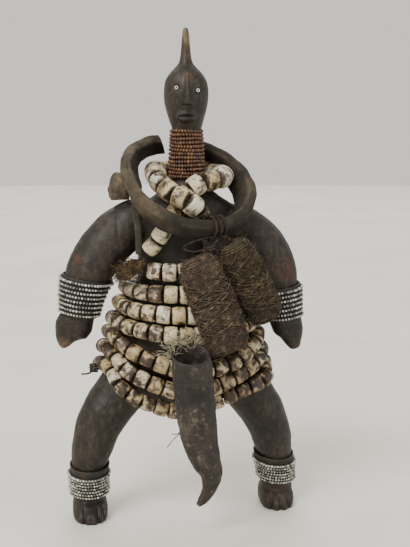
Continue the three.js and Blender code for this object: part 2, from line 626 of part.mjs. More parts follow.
piece('figure', figure(), WOOD);
FACE.eyes.forEach((place, i) => piece(['eye_right', 'eye_left'][i], eye(place), SEEDS));
piece('neck_choker', choker(), BRICK);
piece('collar', collar(), HIDE_BROWN);
piece('chest_string', chestString(), SHELL);
WAIST_STRINGS.forEach((string, i) => piece(`waist_string_${i + 1}`, girdle(string), SHELL));
HIP_STRINGS.forEach((string, i) => piece(`hip_string_${i + 1}`, girdle(string), SHELL));
piece('horn', horn(), HORN_GREY);
piece('horn_string', cord(HORN_STRING), FIBRE);
Object.entries(BUNDLES).forEach(([name, sizes]) => piece(name, bundle(sizes), FIBRE));
piece('bundle_tie', bundleTie(), FIBRE);
piece('tuft', limbLoft(TUFT, LIMB_SIDES), FIBRE);
piece('strap', limbLoft(STRAP, 6), HIDE_BROWN);
piece('packet', limbLoft(PACKET, LIMB_SIDES), HIDE_BROWN);
Object.entries(CUFFS).forEach(([name, { stations, hide, rows, lean }]) => {
  const band = { levels: hide, grow: CUFF_ROOM, thickness: HIDE, lean };
  const winding = { levels: hide.slice(1), grow: 2 * CUFF_ROOM + HIDE, thickness: SEED_BEAD, rows, lean };
  piece(`${name}_hide`, sleeve(stations, band), HIDE_BROWN);
  piece(`${name}_beads`, sleeve(stations, winding), SEEDS);
});

// The origin is under the middle of the whole doll, on the plane of its soles
const middle = new THREE.Box3().setFromObject(doll).getCenter(new THREE.Vector3());
doll.position.set(-middle.x, -middle.y, 0);

export default doll;
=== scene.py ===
import math
import random

import bmesh
import bpy
import numpy as np
from mathutils import Matrix, Vector, noise


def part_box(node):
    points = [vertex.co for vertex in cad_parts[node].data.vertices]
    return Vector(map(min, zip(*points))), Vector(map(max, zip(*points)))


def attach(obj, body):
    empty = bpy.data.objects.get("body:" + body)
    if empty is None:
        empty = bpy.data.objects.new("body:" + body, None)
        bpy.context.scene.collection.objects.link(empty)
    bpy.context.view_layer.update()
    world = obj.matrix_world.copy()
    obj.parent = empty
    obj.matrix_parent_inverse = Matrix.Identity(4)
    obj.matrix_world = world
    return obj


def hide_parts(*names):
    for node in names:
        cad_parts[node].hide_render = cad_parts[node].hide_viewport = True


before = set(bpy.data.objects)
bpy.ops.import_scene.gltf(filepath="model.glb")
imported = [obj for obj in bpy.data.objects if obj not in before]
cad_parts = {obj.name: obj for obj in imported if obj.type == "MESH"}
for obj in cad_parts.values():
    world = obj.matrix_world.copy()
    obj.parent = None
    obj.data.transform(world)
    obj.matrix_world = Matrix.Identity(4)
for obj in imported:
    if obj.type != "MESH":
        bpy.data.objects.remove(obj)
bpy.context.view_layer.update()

# Studio
# The doll stands on a pale floor in soft light from its upper right side. Sizes are the carver's own, in
# millimetres from between the soles; the neck's place tells how far that lies from the frame's origin.
MM = 0.001
NECK = (0.8, 3.0)
CAMERA_PLACE = (-90.8, -734.5, 275.0)
CAMERA_TURN = math.radians(-8)
CAMERA_DIP = math.radians(8.65)
LENS = 75.36
FLOOR_RADIUS = 3000
FLOOR_SIDES = 64
LIT_HEIGHT = 0.16  # the lamps point at the doll's middle

choker_low, choker_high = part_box("neck_choker")
middle = (choker_low + choker_high) / 2 / MM
SHIFT = np.array([middle.x - NECK[0], middle.y - NECK[1], 0.0])


def placed(points):
    """The carver's millimetres as metres of the frame"""
    return (np.asarray(points, float) + SHIFT) * MM


class Shade:
    """One output of a material's nodes; sums and products of it add nodes of their own"""

    def __init__(self, tree, socket=None):
        self.tree = tree
        self.socket = socket

    def node(self, kind, settings=None, sockets=None, out=0):
        made = self.tree.nodes.new("ShaderNode" + kind)
        for name, value in (settings or {}).items():
            if name == "stops":
                self.set_stops(made.color_ramp, value)
            else:
                setattr(made, name, value)
        self.fill(made, sockets or {})
        return Shade(self.tree, made.outputs[out])

    def fill(self, node, sockets):
        for key, value in sockets.items():
            if isinstance(value, Shade):
                self.tree.links.new(value.socket, node.inputs[key])
            else:
                node.inputs[key].default_value = value

    @staticmethod
    def set_stops(ramp, stops):
        while len(ramp.elements) < len(stops):
            ramp.elements.new(1)
        for element, (place, colour) in zip(ramp.elements, stops):
            element.position = place
            element.color = colour

    def maths(self, operation, *terms):
        return self.node("Math", {"operation": operation}, dict(enumerate(terms)))

    def __add__(self, other):
        return self.maths("ADD", self, other)

    def __sub__(self, other):
        return self.maths("SUBTRACT", self, other)

    def __mul__(self, other):
        return self.maths("MULTIPLY", self, other)

    def __rsub__(self, other):
        return self.maths("SUBTRACT", other, self)

    __radd__ = __add__
    __rmul__ = __mul__

    def over(self, low, high):
        """0 below low, 1 above high, and straight between them"""
        return self.node("MapRange", None, {"Value": self, "From Min": low, "From Max": high})

    def stretched(self, share):
        """Places drawn out along the doll's height"""
        return self.node("VectorMath", {"operation": "MULTIPLY"}, {0: self, 1: (1, 1, share)})

    def near(self, spot, inner, outer):
        """1 within inner millimetres of a spot on the doll, 0 beyond outer"""
        sockets = {0: self, 1: tuple(placed(spot))}
        away = self.node("VectorMath", {"operation": "DISTANCE"}, sockets, "Value")
        return 1 - away.over(inner * MM, outer * MM)

    def noise(self, scale, detail=3, rough=0.55, bend=0):
        sockets = {"Vector": self, "Scale": scale, "Detail": detail, "Roughness": rough, "Distortion": bend}
        return self.node("TexNoise", None, sockets)

    def stored(self, name):
        """A number that the mesh holds for each of its points"""
        return self.node("Attribute", {"attribute_name": name}, out="Fac")

    def ramp(self, *stops):
        """Colours along this value"""
        return self.node("ValToRGB", {"stops": [(at, rgb(code)) for at, code in stops]}, {0: self})

    def between(self, first, second):
        """One colour where this value is 0, another where it is 1"""
        return self.node("Mix", {"data_type": "RGBA"}, {0: self, 6: rgb(first), 7: rgb(second)}, 2)

    def painted(self, *coats):
        """This colour, with each coat's own laid over it where the coat's share is 1"""
        colour = self
        for code, share in coats:
            colour = self.node("Mix", {"data_type": "RGBA"}, {0: share, 6: colour, 7: rgb(code)}, 2)
        return colour


def new_material(name):
    """The surface places of an empty material, and a function that finishes it"""
    material = bpy.data.materials.new(name)
    material.use_nodes = True
    shader = material.node_tree.nodes["Principled BSDF"]
    place = Shade(material.node_tree).node("TexCoord", out="Object")

    def finish(colour, rough, height=None, depth=0.3, strength=0.8, **fixed):
        place.fill(shader, {"Base Color": colour, "Roughness": rough})
        if height:
            sockets = {"Height": height, "Distance": depth * MM, "Strength": strength}
            place.fill(shader, {"Normal": place.node("Bump", None, sockets)})
        place.fill(shader, {key.replace("_", " "): value for key, value in fixed.items()})
        return material

    return place, finish


def rgb(code):
    """A colour written as rrggbb, as the light it gives back"""
    parts = [int(code[i:i + 2], 16) / 255 for i in (0, 2, 4)]
    return (*[p / 12.92 if p < 0.04045 else ((p + 0.055) / 1.055) ** 2.4 for p in parts], 1)


def new_object(name, points, faces, material=None):
    """A smooth mesh object from points in the carver's millimetres, its faces turned outward"""
    mesh = bpy.data.meshes.new(name)
    mesh.from_pydata([tuple(p) for p in placed(points)], [], faces)
    made = bpy.data.objects.new(name, mesh)
    bpy.context.scene.collection.objects.link(made)
    if material:
        mesh.materials.append(material)
    work = bmesh.new()
    work.from_mesh(mesh)
    bmesh.ops.recalc_face_normals(work, faces=work.faces)
    work.to_mesh(mesh)
    work.free()
    mesh.shade_smooth()
    return made


def section(centre, u, v, sides, power=2, start=0):
    """A round or squarish ring of points about a centre, with u and v as its half axes"""
    angle = math.tau * (np.arange(sides) + start) / sides
    along = np.sign(np.cos(angle)) * np.abs(np.cos(angle)) ** (2 / power)
    across = np.sign(np.sin(angle)) * np.abs(np.sin(angle)) ** (2 / power)
    return np.asarray(centre) + np.outer(along, u) + np.outer(across, v)


place, finish = new_material("pale_floor")
floor = new_object(
    "floor", section((0, 0, 0), (FLOOR_RADIUS, 0, 0), (0, FLOOR_RADIUS, 0), FLOOR_SIDES),
    [tuple(range(FLOOR_SIDES))], finish(place.noise(6, 4).over(0.35, 0.7).between("d8d4cc", "cdc9c0"), 0.7),
)

camera = bpy.data.objects.new("camera", bpy.data.cameras.new("camera"))
bpy.context.scene.collection.objects.link(camera)
bpy.context.scene.camera = camera
camera.data.lens = LENS
camera.data.sensor_width = 36
camera.data.clip_start = 0.02
ahead = Vector((
    -math.sin(CAMERA_TURN) * math.cos(CAMERA_DIP), math.cos(CAMERA_TURN) * math.cos(CAMERA_DIP),
    -math.sin(CAMERA_DIP),
))
right = Vector((math.cos(CAMERA_TURN), math.sin(CAMERA_TURN), 0))
axes = Matrix((right, right.cross(ahead), -ahead)).transposed().to_4x4()
camera.matrix_world = Matrix.Translation(Vector(placed(CAMERA_PLACE))) @ axes

LIGHTS = {
    "key": [(-1.8, -2.25, 3.0), 1.9, 185, (1, 0.985, 0.96)],
    "fill": [(2.7, -2.1, 1.5), 3.0, 25, (0.97, 0.98, 1)],
    "rim": [(0.3, 2.7, 2.7), 2.4, 80, (1, 0.98, 0.96)],
}
for name, (spot, size, watts, tint) in LIGHTS.items():
    lamp = bpy.data.objects.new(name, bpy.data.lights.new(name, "AREA"))
    bpy.context.scene.collection.objects.link(lamp)
    lamp.data.size = size
    lamp.data.energy = watts
    lamp.data.color = tint
    lamp.location = spot
    lamp.rotation_mode = "QUATERNION"
    lamp.rotation_quaternion = (Vector((0, 0, LIT_HEIGHT)) - Vector(spot)).to_track_quat("-Z", "Y")

world = bpy.data.worlds.new("studio")
bpy.context.scene.world = world
world.use_nodes = True
world.node_tree.nodes["Background"].inputs["Color"].default_value = rgb("dad7d0")
world.node_tree.nodes["Background"].inputs["Strength"].default_value = 1.3

# Figure
# Trunk, neck, head with its spike, arms, legs and feet, carved from one piece of dark oiled wood. The
# body, the head and the two feet are shaped apart at the fineness each needs and then made one solid.
TRUNK = [
    [76, -2.2, 4, 17, 11], [81, -2.2, 4, 33, 18], [90, -2.2, 4, 44, 24], [103, -2.2, 4, 48.5, 26.5],
    [118, -2, 4, 45.5, 26], [134, -1.6, 4, 40.5, 24.5], [152, -1, 3.6, 33, 22.5],
    [168, -0.6, 3.3, 30.5, 21.5], [184, -0.2, 3, 32, 19.6], [197, 0.2, 3, 34.5, 19.2],
    [206, 0.5, 3, 31, 17.4], [213, 0.7, 3, 22, 14.5], [219, 0.8, 3, 14, 12], [223.6, 0.8, 3, 10.2, 10.2],
    [244, 0.8, 3, 8.6, 8.6],
]
HEAD = [
    [238, 0.8, 3, 8.4, 8.4], [250, 0.8, 3, 8.6, 8.6], [256.5, 0.9, 2.5, 9.6, 10.5],
    [262, 0.6, 2, 11.2, 12], [267.5, 0.5, 1.6, 12.8, 13.4], [272.5, 0.4, 1.4, 13.9, 14.4],
    [277.8, 0.4, 1.3, 14.3, 14.8], [283.1, 0.4, 1.3, 14, 14.3], [287.1, 0.3, 1.4, 13, 13],
    [291.3, 0.3, 1.6, 10.4, 10.6], [295.4, 0.3, 1.8, 6.6, 7], [298.5, 0.3, 2, 4.3, 4.8],
    [303.8, 0.3, 2.2, 3.3, 3.8], [308.9, 0.3, 2.3, 2.8, 3.2], [316, 0.3, 2.3, 2.2, 2.6],
    [320, 0.3, 2.3, 1.3, 1.4],
]
RIGHT_ARM = [
    [-20, 3, 199, 12, 13], [-33, 3, 196.5, 15, 14.5], [-43, 2.5, 190, 16, 15.5],
    [-50.6, 2, 183, 16, 15.5], [-57, 1.4, 175, 15.8, 15.2], [-62, 1, 167, 15.2, 14.6],
    [-65.6, 0.6, 159.5, 13.8, 13.4], [-68, 0.4, 150, 12, 11.9], [-70, 0.2, 137.5, 10.2, 10.4],
    [-72.8, 0, 131.2, 12.2, 9.8], [-76, 0, 127.4, 10.8, 8.6], [-78.8, 0, 122.4, 7.2, 6],
    [-80.3, 0, 117.8, 4, 3.6], [-81.1, 0, 115, 1.3, 1.3],
]
LEFT_ARM = [
    [20, 3, 197, 12, 13], [33, 3, 192.5, 15, 14.5], [42, 3, 187, 16, 15.5], [49.5, 2.6, 180, 16, 15.5],
    [54.8, 2.2, 172, 15.6, 15.2], [58.4, 2, 164, 15.2, 14.6], [61, 1.8, 155, 13.6, 13.2],
    [63, 1.6, 145, 11.6, 11.8], [65.2, 1.4, 132.6, 9.9, 10.4], [67.9, 1.2, 126.6, 10.6, 8.6],
    [70.4, 1, 121.8, 8.8, 7.2], [72.4, 1, 115, 5.7, 5.2], [73.6, 1, 110.4, 3, 3.4],
]
RIGHT_LEG = [
    [-24, 4, 106, 16, 16], [-36.6, 3.5, 93, 17, 16.5], [-46.4, 2, 81, 16.6, 16.2],
    [-54, 0.5, 70.6, 16, 15.5], [-59, -0.8, 61, 15, 14.5], [-62.5, -1, 50, 13.8, 13.6],
    [-64.6, 0.5, 39, 11.9, 12.3], [-65.2, 2.2, 26, 10, 10.8], [-65, 3.6, 12, 10.6, 10.8],
    [-65, 3.8, 6, 11, 11],
]
LEFT_LEG = [
    [21, 5, 106, 16, 16], [33, 5.5, 93, 16.6, 16.5], [43.2, 6, 80, 16, 16.2], [50.5, 6, 69.6, 15.2, 15.5],
    [55.5, 6, 60, 14.2, 14.5], [59, 6.5, 49, 13.4, 13.6], [61, 8, 38, 11.9, 12.3],
    [62.5, 10, 25, 10, 10.8], [63.5, 12, 12, 10.6, 10.8], [63.4, 12.5, 6, 11, 11],
]
# Where the shins end inside the feet's own ankles, and how much wider those ankles are
SHIN_ENDS = {"right": [-65.1, 3, 20, 9.3, 10.2], "left": [63, 11, 20, 9.3, 10.2]}
ANKLE_GROWTH = 0.35
FEET = {"right": (-64.8, 20, -17.5), "left": (62.8, 29, -8)}  # x, back of the heel, tip of the toes
FOOT = [
    [0, 6, 8], [0.12, 9, 14], [0.35, 11.2, 17], [0.6, 11.6, 14], [0.75, 11, 11.5], [0.87, 9, 9],
    [0.95, 6.4, 7], [1, 3.6, 5],
]
NOTCHES = {"right": [(-4.2, 1.5), (4.6, 1.6), (8.4, 4.4)], "left": [(-5.6, 2), (0.4, 0), (6, 2.2)]}
NOSE = [[272, 3.4, 3.4], [275.5, 2.9, 3.2], [279, 2.4, 2.6], [285, 1.7, 1.2], [291, 1.1, -0.6]]
NOSE_ROOT = 4  # how far the nose reaches back into the head
LIPS = {"middle": (-0.6, -9.6, 264.4), "half": (6.8, 3.7, 4), "slit": 5.8}
EYES = {"eye_right": (-7.2, 282.3), "eye_left": (6.4, 280.6)}
EYE_RADIUS = 1.25
TRUNK_SIDES, LIMB_SIDES = 64, 48
BODY_VOXEL = 1.2
HEAD_VOXEL = 0.55
FOOT_VOXEL = 0.7
DRAWN_IN, PUSHED_BACK = 0.55, -0.56

# Knife lines in the wood: both ends, depth, half width
KNIFE_LINES = [
    [(-45.2, -14, 208), (-45.2, -14, 189), 0.7, 0.8], [(-58, -14, 199), (-46, -14, 194), 0.6, 0.8],
    [(-52, -16, 90), (-52, -16, 81.5), 0.7, 0.8],
]


def smooth_rows(rows, steps, closed=False):
    """Rows of numbers with more rows between them, on a smooth curve through all of them"""
    rows = np.asarray(rows, float)
    count = len(rows)
    spans = count if closed else count - 1
    made = []
    for i in range(spans):
        a, b, c, d = [
            rows[k % count] if closed else rows[min(max(k, 0), count - 1)] for k in range(i - 1, i + 3)
        ]
        for step in range(steps):
            t = step / steps
            made.append(0.5 * (
                2 * b + (c - a) * t + (2 * a - 5 * b + 4 * c - d) * t**2 + (3 * b - a - 3 * c + d) * t**3
            ))
    if not closed:
        made.append(rows[-1])
    return np.array(made)


def skin(rings, joined=False):
    """Points and faces of a skin over rings of points, with flat ends unless its ends are joined"""
    sides = len(rings[0])
    faces = []
    for r in range(len(rings) if joined else len(rings) - 1):
        near, far = r * sides, (r + 1) % len(rings) * sides
        for i in range(sides):
            j = (i + 1) % sides
            faces.append((near + i, near + j, far + j, far + i))
    if not joined:
        last = (len(rings) - 1) * sides
        faces.append(tuple(range(sides)))
        faces.append(tuple(range(last, last + sides)))
    return np.concatenate(rings), faces


def together(shapes):
    """Several skins as one list of points and one of faces"""
    points, faces, count = [], [], 0
    for more, sides in shapes:
        points.append(more)
        faces.extend(tuple(i + count for i in side) for side in sides)
        count += len(more)
    return np.concatenate(points), faces


def unit(vector):
    return np.asarray(vector, float) / np.linalg.norm(vector)


def level_rings(stations, sides, steps):
    return [
        section((x, y, z), (wide, 0, 0), (0, deep, 0), sides)
        for z, x, y, wide, deep in smooth_rows(stations, steps)
    ]


def limb_frame(direction):
    """The plane across a limb: its width in the front view, its depth towards the back"""
    width = unit(np.cross((0, 1, 0), direction))
    return width, unit(np.cross(direction, width))


def heading(points, i):
    """The direction of a line of points at one of them"""
    return unit(points[min(i + 1, len(points) - 1)] - points[max(i - 1, 0)])


def limb_rings(stations, sides, steps):
    rows = smooth_rows(stations, steps)
    made = []
    for i, (x, y, z, wide, deep) in enumerate(rows):
        width, depth = limb_frame(heading(rows[:, :3], i))
        made.append(section((x, y, z), width * wide, depth * deep, sides))
    return made


def foot_rings(x, heel, toe):
    rings = []
    for share, wide, high in smooth_rows(FOOT, 5):
        y = heel + (toe - heel) * share
        ring = section((x, y, high * 0.4), (wide, 0, 0), (0, 0, high * 0.6), 40, 2.6)
        ring[:, 2] = np.maximum(ring[:, 2], 0)
        rings.append(ring)
    return rings


def nose_rings():
    front = HEAD[6][2] - HEAD[6][4] + NOSE_ROOT
    rings = []
    for z, wide, proud in smooth_rows(NOSE, 5):
        half = (proud + NOSE_ROOT) / 2
        rings.append(section((LIPS["middle"][0], front - half, z), (wide, 0, 0), (0, half, 0), 20, 1.6))
    return rings


def ball(centre, half, rings=16, sides=28):
    lats = [math.pi * (i + 0.5) / rings for i in range(rings)]
    return [
        section(
            (centre[0], centre[1], centre[2] + half[2] * math.cos(a)),
            (half[0] * math.sin(a), 0, 0), (0, half[1] * math.sin(a), 0), sides,
        )
        for a in lats
    ]


def takes_place(made, node):
    """The finished piece stands in for its plain solid"""
    made.name = made.data.name = f"finished_{node}"
    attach(made, "root")
    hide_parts(node)


def numbers_of(items, name, width=3, kind=np.float32):
    """The numbers that a mesh holds for each of its points, normals or edges"""
    found = np.empty(len(items) * width, kind)
    items.foreach_get(name, found)
    return found.reshape(-1, width)


def points_of(mesh):
    return numbers_of(mesh.vertices, "co").astype(float) / MM - SHIFT


def grown_together(name, shapes, voxel, rounds=4):
    """One even skin over several overlapping solids, as points and faces in millimetres"""
    rough = new_object(name, *together([skin(rings) for rings in shapes]))
    remesh = rough.modifiers.new("even", "REMESH")
    remesh.mode = "VOXEL"
    remesh.voxel_size = voxel * MM
    shaped = rough.evaluated_get(bpy.context.evaluated_depsgraph_get())
    mesh = bpy.data.meshes.new_from_object(shaped)
    faces = [tuple(face.vertices) for face in mesh.polygons]
    bpy.data.objects.remove(rough)
    return relaxed(points_of(mesh), numbers_of(mesh.edges, "vertices", 2, np.int32), rounds), faces


def relaxed(points, edges, rounds):
    """Points drawn towards their neighbours and pushed back, so that steps go and the size stays"""
    ends = np.concatenate([edges, edges[:, ::-1]])
    count = np.bincount(ends[:, 0], minlength=len(points))[:, None]
    for step in range(2 * rounds):
        near = np.stack([
            np.bincount(ends[:, 0], points[ends[:, 1], axis], len(points)) for axis in range(3)
        ], 1) / np.maximum(count, 1)
        points = points + (near - points) * (DRAWN_IN if step % 2 == 0 else PUSHED_BACK)
    return points


def lumps(points, *kinds):
    """Soft lumps at each point, of several kinds: height, size and seed"""
    heights = 0
    for height, size, seed in kinds:
        offset = Vector((seed * 7.3, seed * 3.1, seed * 5.7))
        heights = heights + height * np.array([noise.noise(Vector(p) / size + offset) for p in points])
    return heights


def uneven(*kinds):
    """A change to a skin that gives it those lumps"""
    return lambda points, normals: points + normals * lumps(points, *kinds)[:, None]


def remade(name, points, faces, change, material=None):
    """A new object whose points are then moved by a change"""
    made = new_object(name, points, faces, material)
    normals = numbers_of(made.data.vertex_normals, "vector").astype(float)
    points = change(points_of(made.data), normals)
    made.data.vertices.foreach_set("co", placed(points).astype(np.float32).ravel())
    made.data.update()
    return made


def peak(offset, half, power=2):
    """1 at no offset, and next to nothing beyond about twice the half"""
    return np.exp(-((offset / half) ** power))


def from_line(points, start, end):
    """How far each point is from a straight line, in the front view"""
    a, b = np.array(start)[[0, 2]], np.array(end)[[0, 2]]
    flat = points[:, [0, 2]]
    share = np.clip((flat - a) @ (b - a) / ((b - a) @ (b - a)), 0, 1)
    return np.linalg.norm(flat - a - np.outer(share, b - a), axis=1)


def face_depth(x, z):
    """The y of the face's front at a place"""
    stations = np.array(HEAD)
    cx, cy, wide, deep = [np.interp(z, stations[:, 0], stations[:, i]) for i in (1, 2, 3, 4)]
    return cy - deep * math.sqrt(1 - ((x - cx) / wide) ** 2)


def carve_head(points, normals):
    """Cuts the mouth's slit and drills the eyes' sockets, each in a shallow hollow"""
    x, y, z = points.T
    front = y < -4
    slit = LIPS["slit"]
    mx, _, mz = LIPS["middle"]
    mouth = peak(z - mz - 0.3 * np.cos((x - mx) / 2), 0.85) * (np.abs(x - mx) < slit)
    points[:, 1] += front * 2.2 * mouth * (1 - ((x - mx) / slit).clip(-1, 1) ** 4)
    for ex, ez in EYES.values():
        away = np.hypot(x - ex, z - ez)
        points[:, 1] += front * (1.3 * peak(away, EYE_RADIUS + 0.15, 4))
        points[:, 1] += front * 0.6 * peak(away, 3.8)
    return points


def carve_foot(points, normals, side):
    """Grooves between the toes, deepest at their tips, on an unevenly cut foot"""
    x, _, toe = FEET[side]
    points = uneven((0.3, 6, 3), (0.12, 2.4, 4))(points, normals)
    for aside, back in NOTCHES[side]:
        reach = np.clip(1 - (points[:, 1] - toe - back) / 6.5, 0, 1)
        groove = peak(points[:, 0] - x - aside, 1.0) * reach
        points[:, 2] -= groove * 1.3 * (points[:, 2] > 1.5)
        points[:, 1] += groove * 1.9
    points[:, 2] = np.maximum(points[:, 2], 0)
    return points


def carve_body(points, normals):
    """A softly uneven body, with the knife lines cut in its front"""
    heights = lumps(points, (0.42, 11, 1), (0.22, 4.5, 2))
    for start, end, depth, half in KNIFE_LINES:
        heights = heights - depth * peak(from_line(points, start, end), half) * (points[:, 1] < 0)
    return points + normals * heights[:, None]


LEGS = {"right": RIGHT_LEG, "left": LEFT_LEG}
body_shapes = [
    level_rings(TRUNK, TRUNK_SIDES, 5),
    limb_rings(RIGHT_ARM, LIMB_SIDES, 5),
    limb_rings(LEFT_ARM, LIMB_SIDES, 5),
]
for side, leg in LEGS.items():
    body_shapes.append(limb_rings(leg[:-2] + [SHIN_ENDS[side]], LIMB_SIDES, 5))
figure = remade("figure", *grown_together("body", body_shapes, BODY_VOXEL), carve_body)
head_shapes = [level_rings(HEAD, TRUNK_SIDES, 6), nose_rings(), ball(LIPS["middle"], LIPS["half"])]
parts = [remade("head", *grown_together("head", head_shapes, HEAD_VOXEL, 10), carve_head)]
for side, leg in LEGS.items():
    ankle = [[x, y, z, wide + ANKLE_GROWTH, deep + ANKLE_GROWTH] for x, y, z, wide, deep in leg[-3:]]
    grown = grown_together("foot", [limb_rings(ankle, LIMB_SIDES, 5), foot_rings(*FEET[side])], FOOT_VOXEL)
    parts.append(remade(f"foot_{side}", *grown, lambda p, n: carve_foot(p, n, side)))
for part in parts:
    union = figure.modifiers.new("joined", "BOOLEAN")
    union.operation = "UNION"
    union.solver = "MANIFOLD"
    union.object = part
whole = bpy.data.meshes.new_from_object(figure.evaluated_get(bpy.context.evaluated_depsgraph_get()))
figure.modifiers.clear()
figure.data = whole
whole.shade_smooth()
for part in parts:
    bpy.data.objects.remove(part)

place, finish = new_material("dark_oiled_wood")
grain = place.stretched(0.16).noise(520, 5, 0.6)
coarse = place.stretched(0.3).noise(110, 4, 0.6, 0.6)
clouds = place.noise(26, 4, 0.6)
dust = place.noise(75, 5, 0.7).over(0.46, 0.66)
wood_tone = clouds.ramp((0.3, "120f0d"), (0.5, "1f1915"), (0.64, "2f261f"), (0.75, "3d3128")).painted(
    ("0c0a09", coarse.over(0.55, 0.75) * 0.7),
    ("544b40", dust * grain.over(0.4, 0.7) * 0.5),
    ("4c4234", place.noise(300, 5, 0.75).over(0.5, 0.68) * 0.45),
)
WEAR_AND_PAINTED_LIGHT = [  # place, reach, colour, strength: wood rubbed paler, wood stained darker, a painted highlight and painted shade
    [(-80.5, -3, 116.5), 9, "7d6247", 0.75], [(-73, -11, 176), 6, "84532a", 0.5],
    [(66, -14, 166), 11, "5f2c1a", 0.45], [(0.3, 0, 317), 9, "ab9870", 0.85],
    # (-1, -12, 289) is a painted highlight down the forehead ridge
    [(0.3, -3, 305), 9, "5f4a35", 0.6], [(-1, -12, 289), 8, "5a4a3a", 0.8],
    # (-0.6, -15, 264.6) is painted shade in the mouth; (2, -18, 190) is the collar's painted shadow on the
    # chest
    [(-0.6, -15, 264.6), 6, "0b0908", 0.8], [(2, -18, 190), 34, "0d0b09", 0.8],
    [(73, -3, 112), 6, "4a2f22", 0.5], [(-52, -14, 190), 16, "3a3028", 0.5],
]
for spot, size, code, strength in WEAR_AND_PAINTED_LIGHT:
    share = place.near(spot, 0.25 * size, size) * coarse.over(0.35, 0.6) * strength
    wood_tone = wood_tone.painted((code, share))
height = grain * 0.4 + coarse * 0.3 + clouds * 0.3
rough = 0.4 + clouds.over(0.3, 0.7) * 0.2 + dust * 0.15
whole.materials.clear()
whole.materials.append(finish(wood_tone, rough, height, 0.6, 0.9, Specular_IOR_Level=0.32))
takes_place(figure, "figure")

# Eyes
# Two small white ring beads of glass with soiled patches. Each is pressed into a socket drilled in the
# face, its hole facing forward.
EYE_HOLE, EYE_HALF_LENGTH, EYE_SUNK = 0.45, 0.8, 0.2


def ring_bead(centre, radius, hole, half, sides=24):
    """A ring with a round section, its hole along y"""
    mean, thick = (radius + hole) / 2, (radius - hole) / 2
    rings = []
    for i in range(sides):
        a = math.tau * i / sides
        out = np.array([math.cos(a), 0, math.sin(a)])
        rings.append(section(np.asarray(centre) + out * mean, out * thick, np.array([0, half, 0]), 12))
    return skin(rings, joined=True)


place, finish = new_material("white_glass")
glass_tone = place.noise(900, 3).over(0.52, 0.7).between("b9b9b2", "6f6a5c")
glass = finish(glass_tone, 0.3, place.noise(1500), 0.1)
for name, (x, z) in EYES.items():
    centre = (x, face_depth(x, z) + EYE_SUNK, z)
    eye = new_object(name, *ring_bead(centre, EYE_RADIUS, EYE_HOLE, EYE_HALF_LENGTH), glass)
    takes_place(eye, name)

# Neck choker
# Thirteen rows of brick-red glass seed beads strung on thread and wound tightly round the neck, dull
# with old dirt between the beads.
CHOKER_BOTTOM, CHOKER_TOP, CHOKER_ROWS = 224.6, 256.2, 13
CHOKER_FOOT_RADIUS, CHOKER_HEAD_RADIUS = 12.7, 11.0
CHOKER_BEAD, CHOKER_PITCH = (1.8, 1.2, 1.12), 1.94
CHOKER_THREAD = 0.45
SEED_PROFILE = [(-0.5, 0.3), (-0.44, 0.74), (-0.2, 0.97), (0.2, 0.97), (0.44, 0.74), (0.5, 0.3)]
SEED_SIDES = 10


def hold(made, name, values):
    """Stores a number for each of a piece's points, which its material reads by name"""
    made.data.attributes.new(name, "FLOAT", "POINT").data.foreach_set("value", values)


class Beads:
    """Beads of one string or winding, gathered into one mesh with a tone for each bead"""

    def __init__(self, seed):
        self.chance = random.Random(seed)
        self.shapes = []
        self.tones = {"tone": [], "stain": [], "wear": [], "rim": []}

    def add(self, centre, axes, profile, sides, size, stain, change=None):
        """axes are along the thread, across it and outward; size is length and two radii"""
        along, across, outward = axes
        length, wide, deep = size
        rings = [
            section(centre + along * length * t, across * wide * r, outward * deep * r, sides)
            for t, r in profile
        ]
        wear = np.zeros((len(rings), sides))
        if change:
            rings, wear = change(rings)
        points, faces = skin(rings)
        self.shapes.append((points, faces))
        self.tones["tone"] += [self.chance.random()] * len(points)
        self.tones["stain"] += [stain] * len(points)
        self.tones["wear"] += list(np.ravel(wear))
        self.tones["rim"] += [max(0, (abs(t) - 0.36) / 0.13) for t, _ in profile for _ in range(sides)]

    def add_ground(self, points, faces):
        """The dark thread or winding behind the beads"""
        self.shapes.append((points, faces))
        for key, value in {"tone": 0.0, "stain": 1.0, "wear": 1.0, "rim": 1.0}.items():
            self.tones[key] += [value] * len(points)

    def piece(self, node, material, slot):
        made = new_object(node, *together(self.shapes), material)
        for name, values in self.tones.items():
            hold(made, name, values)
        takes_place(made, node)


def run_along(curve):
    """How far each point of a curve is from its start, along it"""
    return np.concatenate([[0], np.cumsum(np.linalg.norm(np.diff(curve, axis=0), axis=1))])


def points_along(curve, run, distances):
    return np.stack([np.interp(distances, run, curve[:, axis]) for axis in range(3)], 1)


def spaced(curve, count, closed=True, start=0.0):
    """Evenly spaced points of a fine curve, the curve's direction at each, and its length"""
    curve = np.asarray(curve)
    if closed:
        curve = np.concatenate([curve, curve[:1]])
    run = run_along(curve)
    at = (np.arange(count) + start) / (count if closed else count) * run[-1]
    nudge = run[-1] / count * 0.2

    def point(distance):
        return points_along(curve, run, distance % run[-1] if closed else distance)

    direction = point(at + nudge) - point(at - nudge)
    return point(at), direction / np.linalg.norm(direction, axis=1)[:, None], run[-1]


def seed_row(beads, outline, centre, size, pitch, jitter=0.06, gaps=0.0):
    """One row of seed beads on a closed outline about a centre"""
    chance = beads.chance
    length, wide, deep = size
    count = round(run_along(np.concatenate([outline, outline[:1]]))[-1] / pitch)
    points, directions, _ = spaced(outline, count, True, chance.random())
    for point, along in zip(points, directions):
        if chance.random() < gaps:
            continue
        outward = point - centre
        outward = unit(outward - along * (outward @ along))
        across = np.cross(along, outward)
        lean = chance.gauss(0, 0.035)
        along_now = unit(along + outward * lean + across * chance.gauss(0, 0.035))
        outward_now = unit(outward - along_now * (outward @ along_now))
        grow = 1 + chance.gauss(0, jitter)
        size_now = (length * (1 + chance.gauss(0, jitter)), wide * grow, deep * grow)
        axes = (along_now, np.cross(along_now, outward_now), outward_now)
        place = point + outward * chance.gauss(0, 0.04) + across * chance.gauss(0, 0.05)
        beads.add(place, axes, SEED_PROFILE, SEED_SIDES, size_now, chance.random() ** 5)


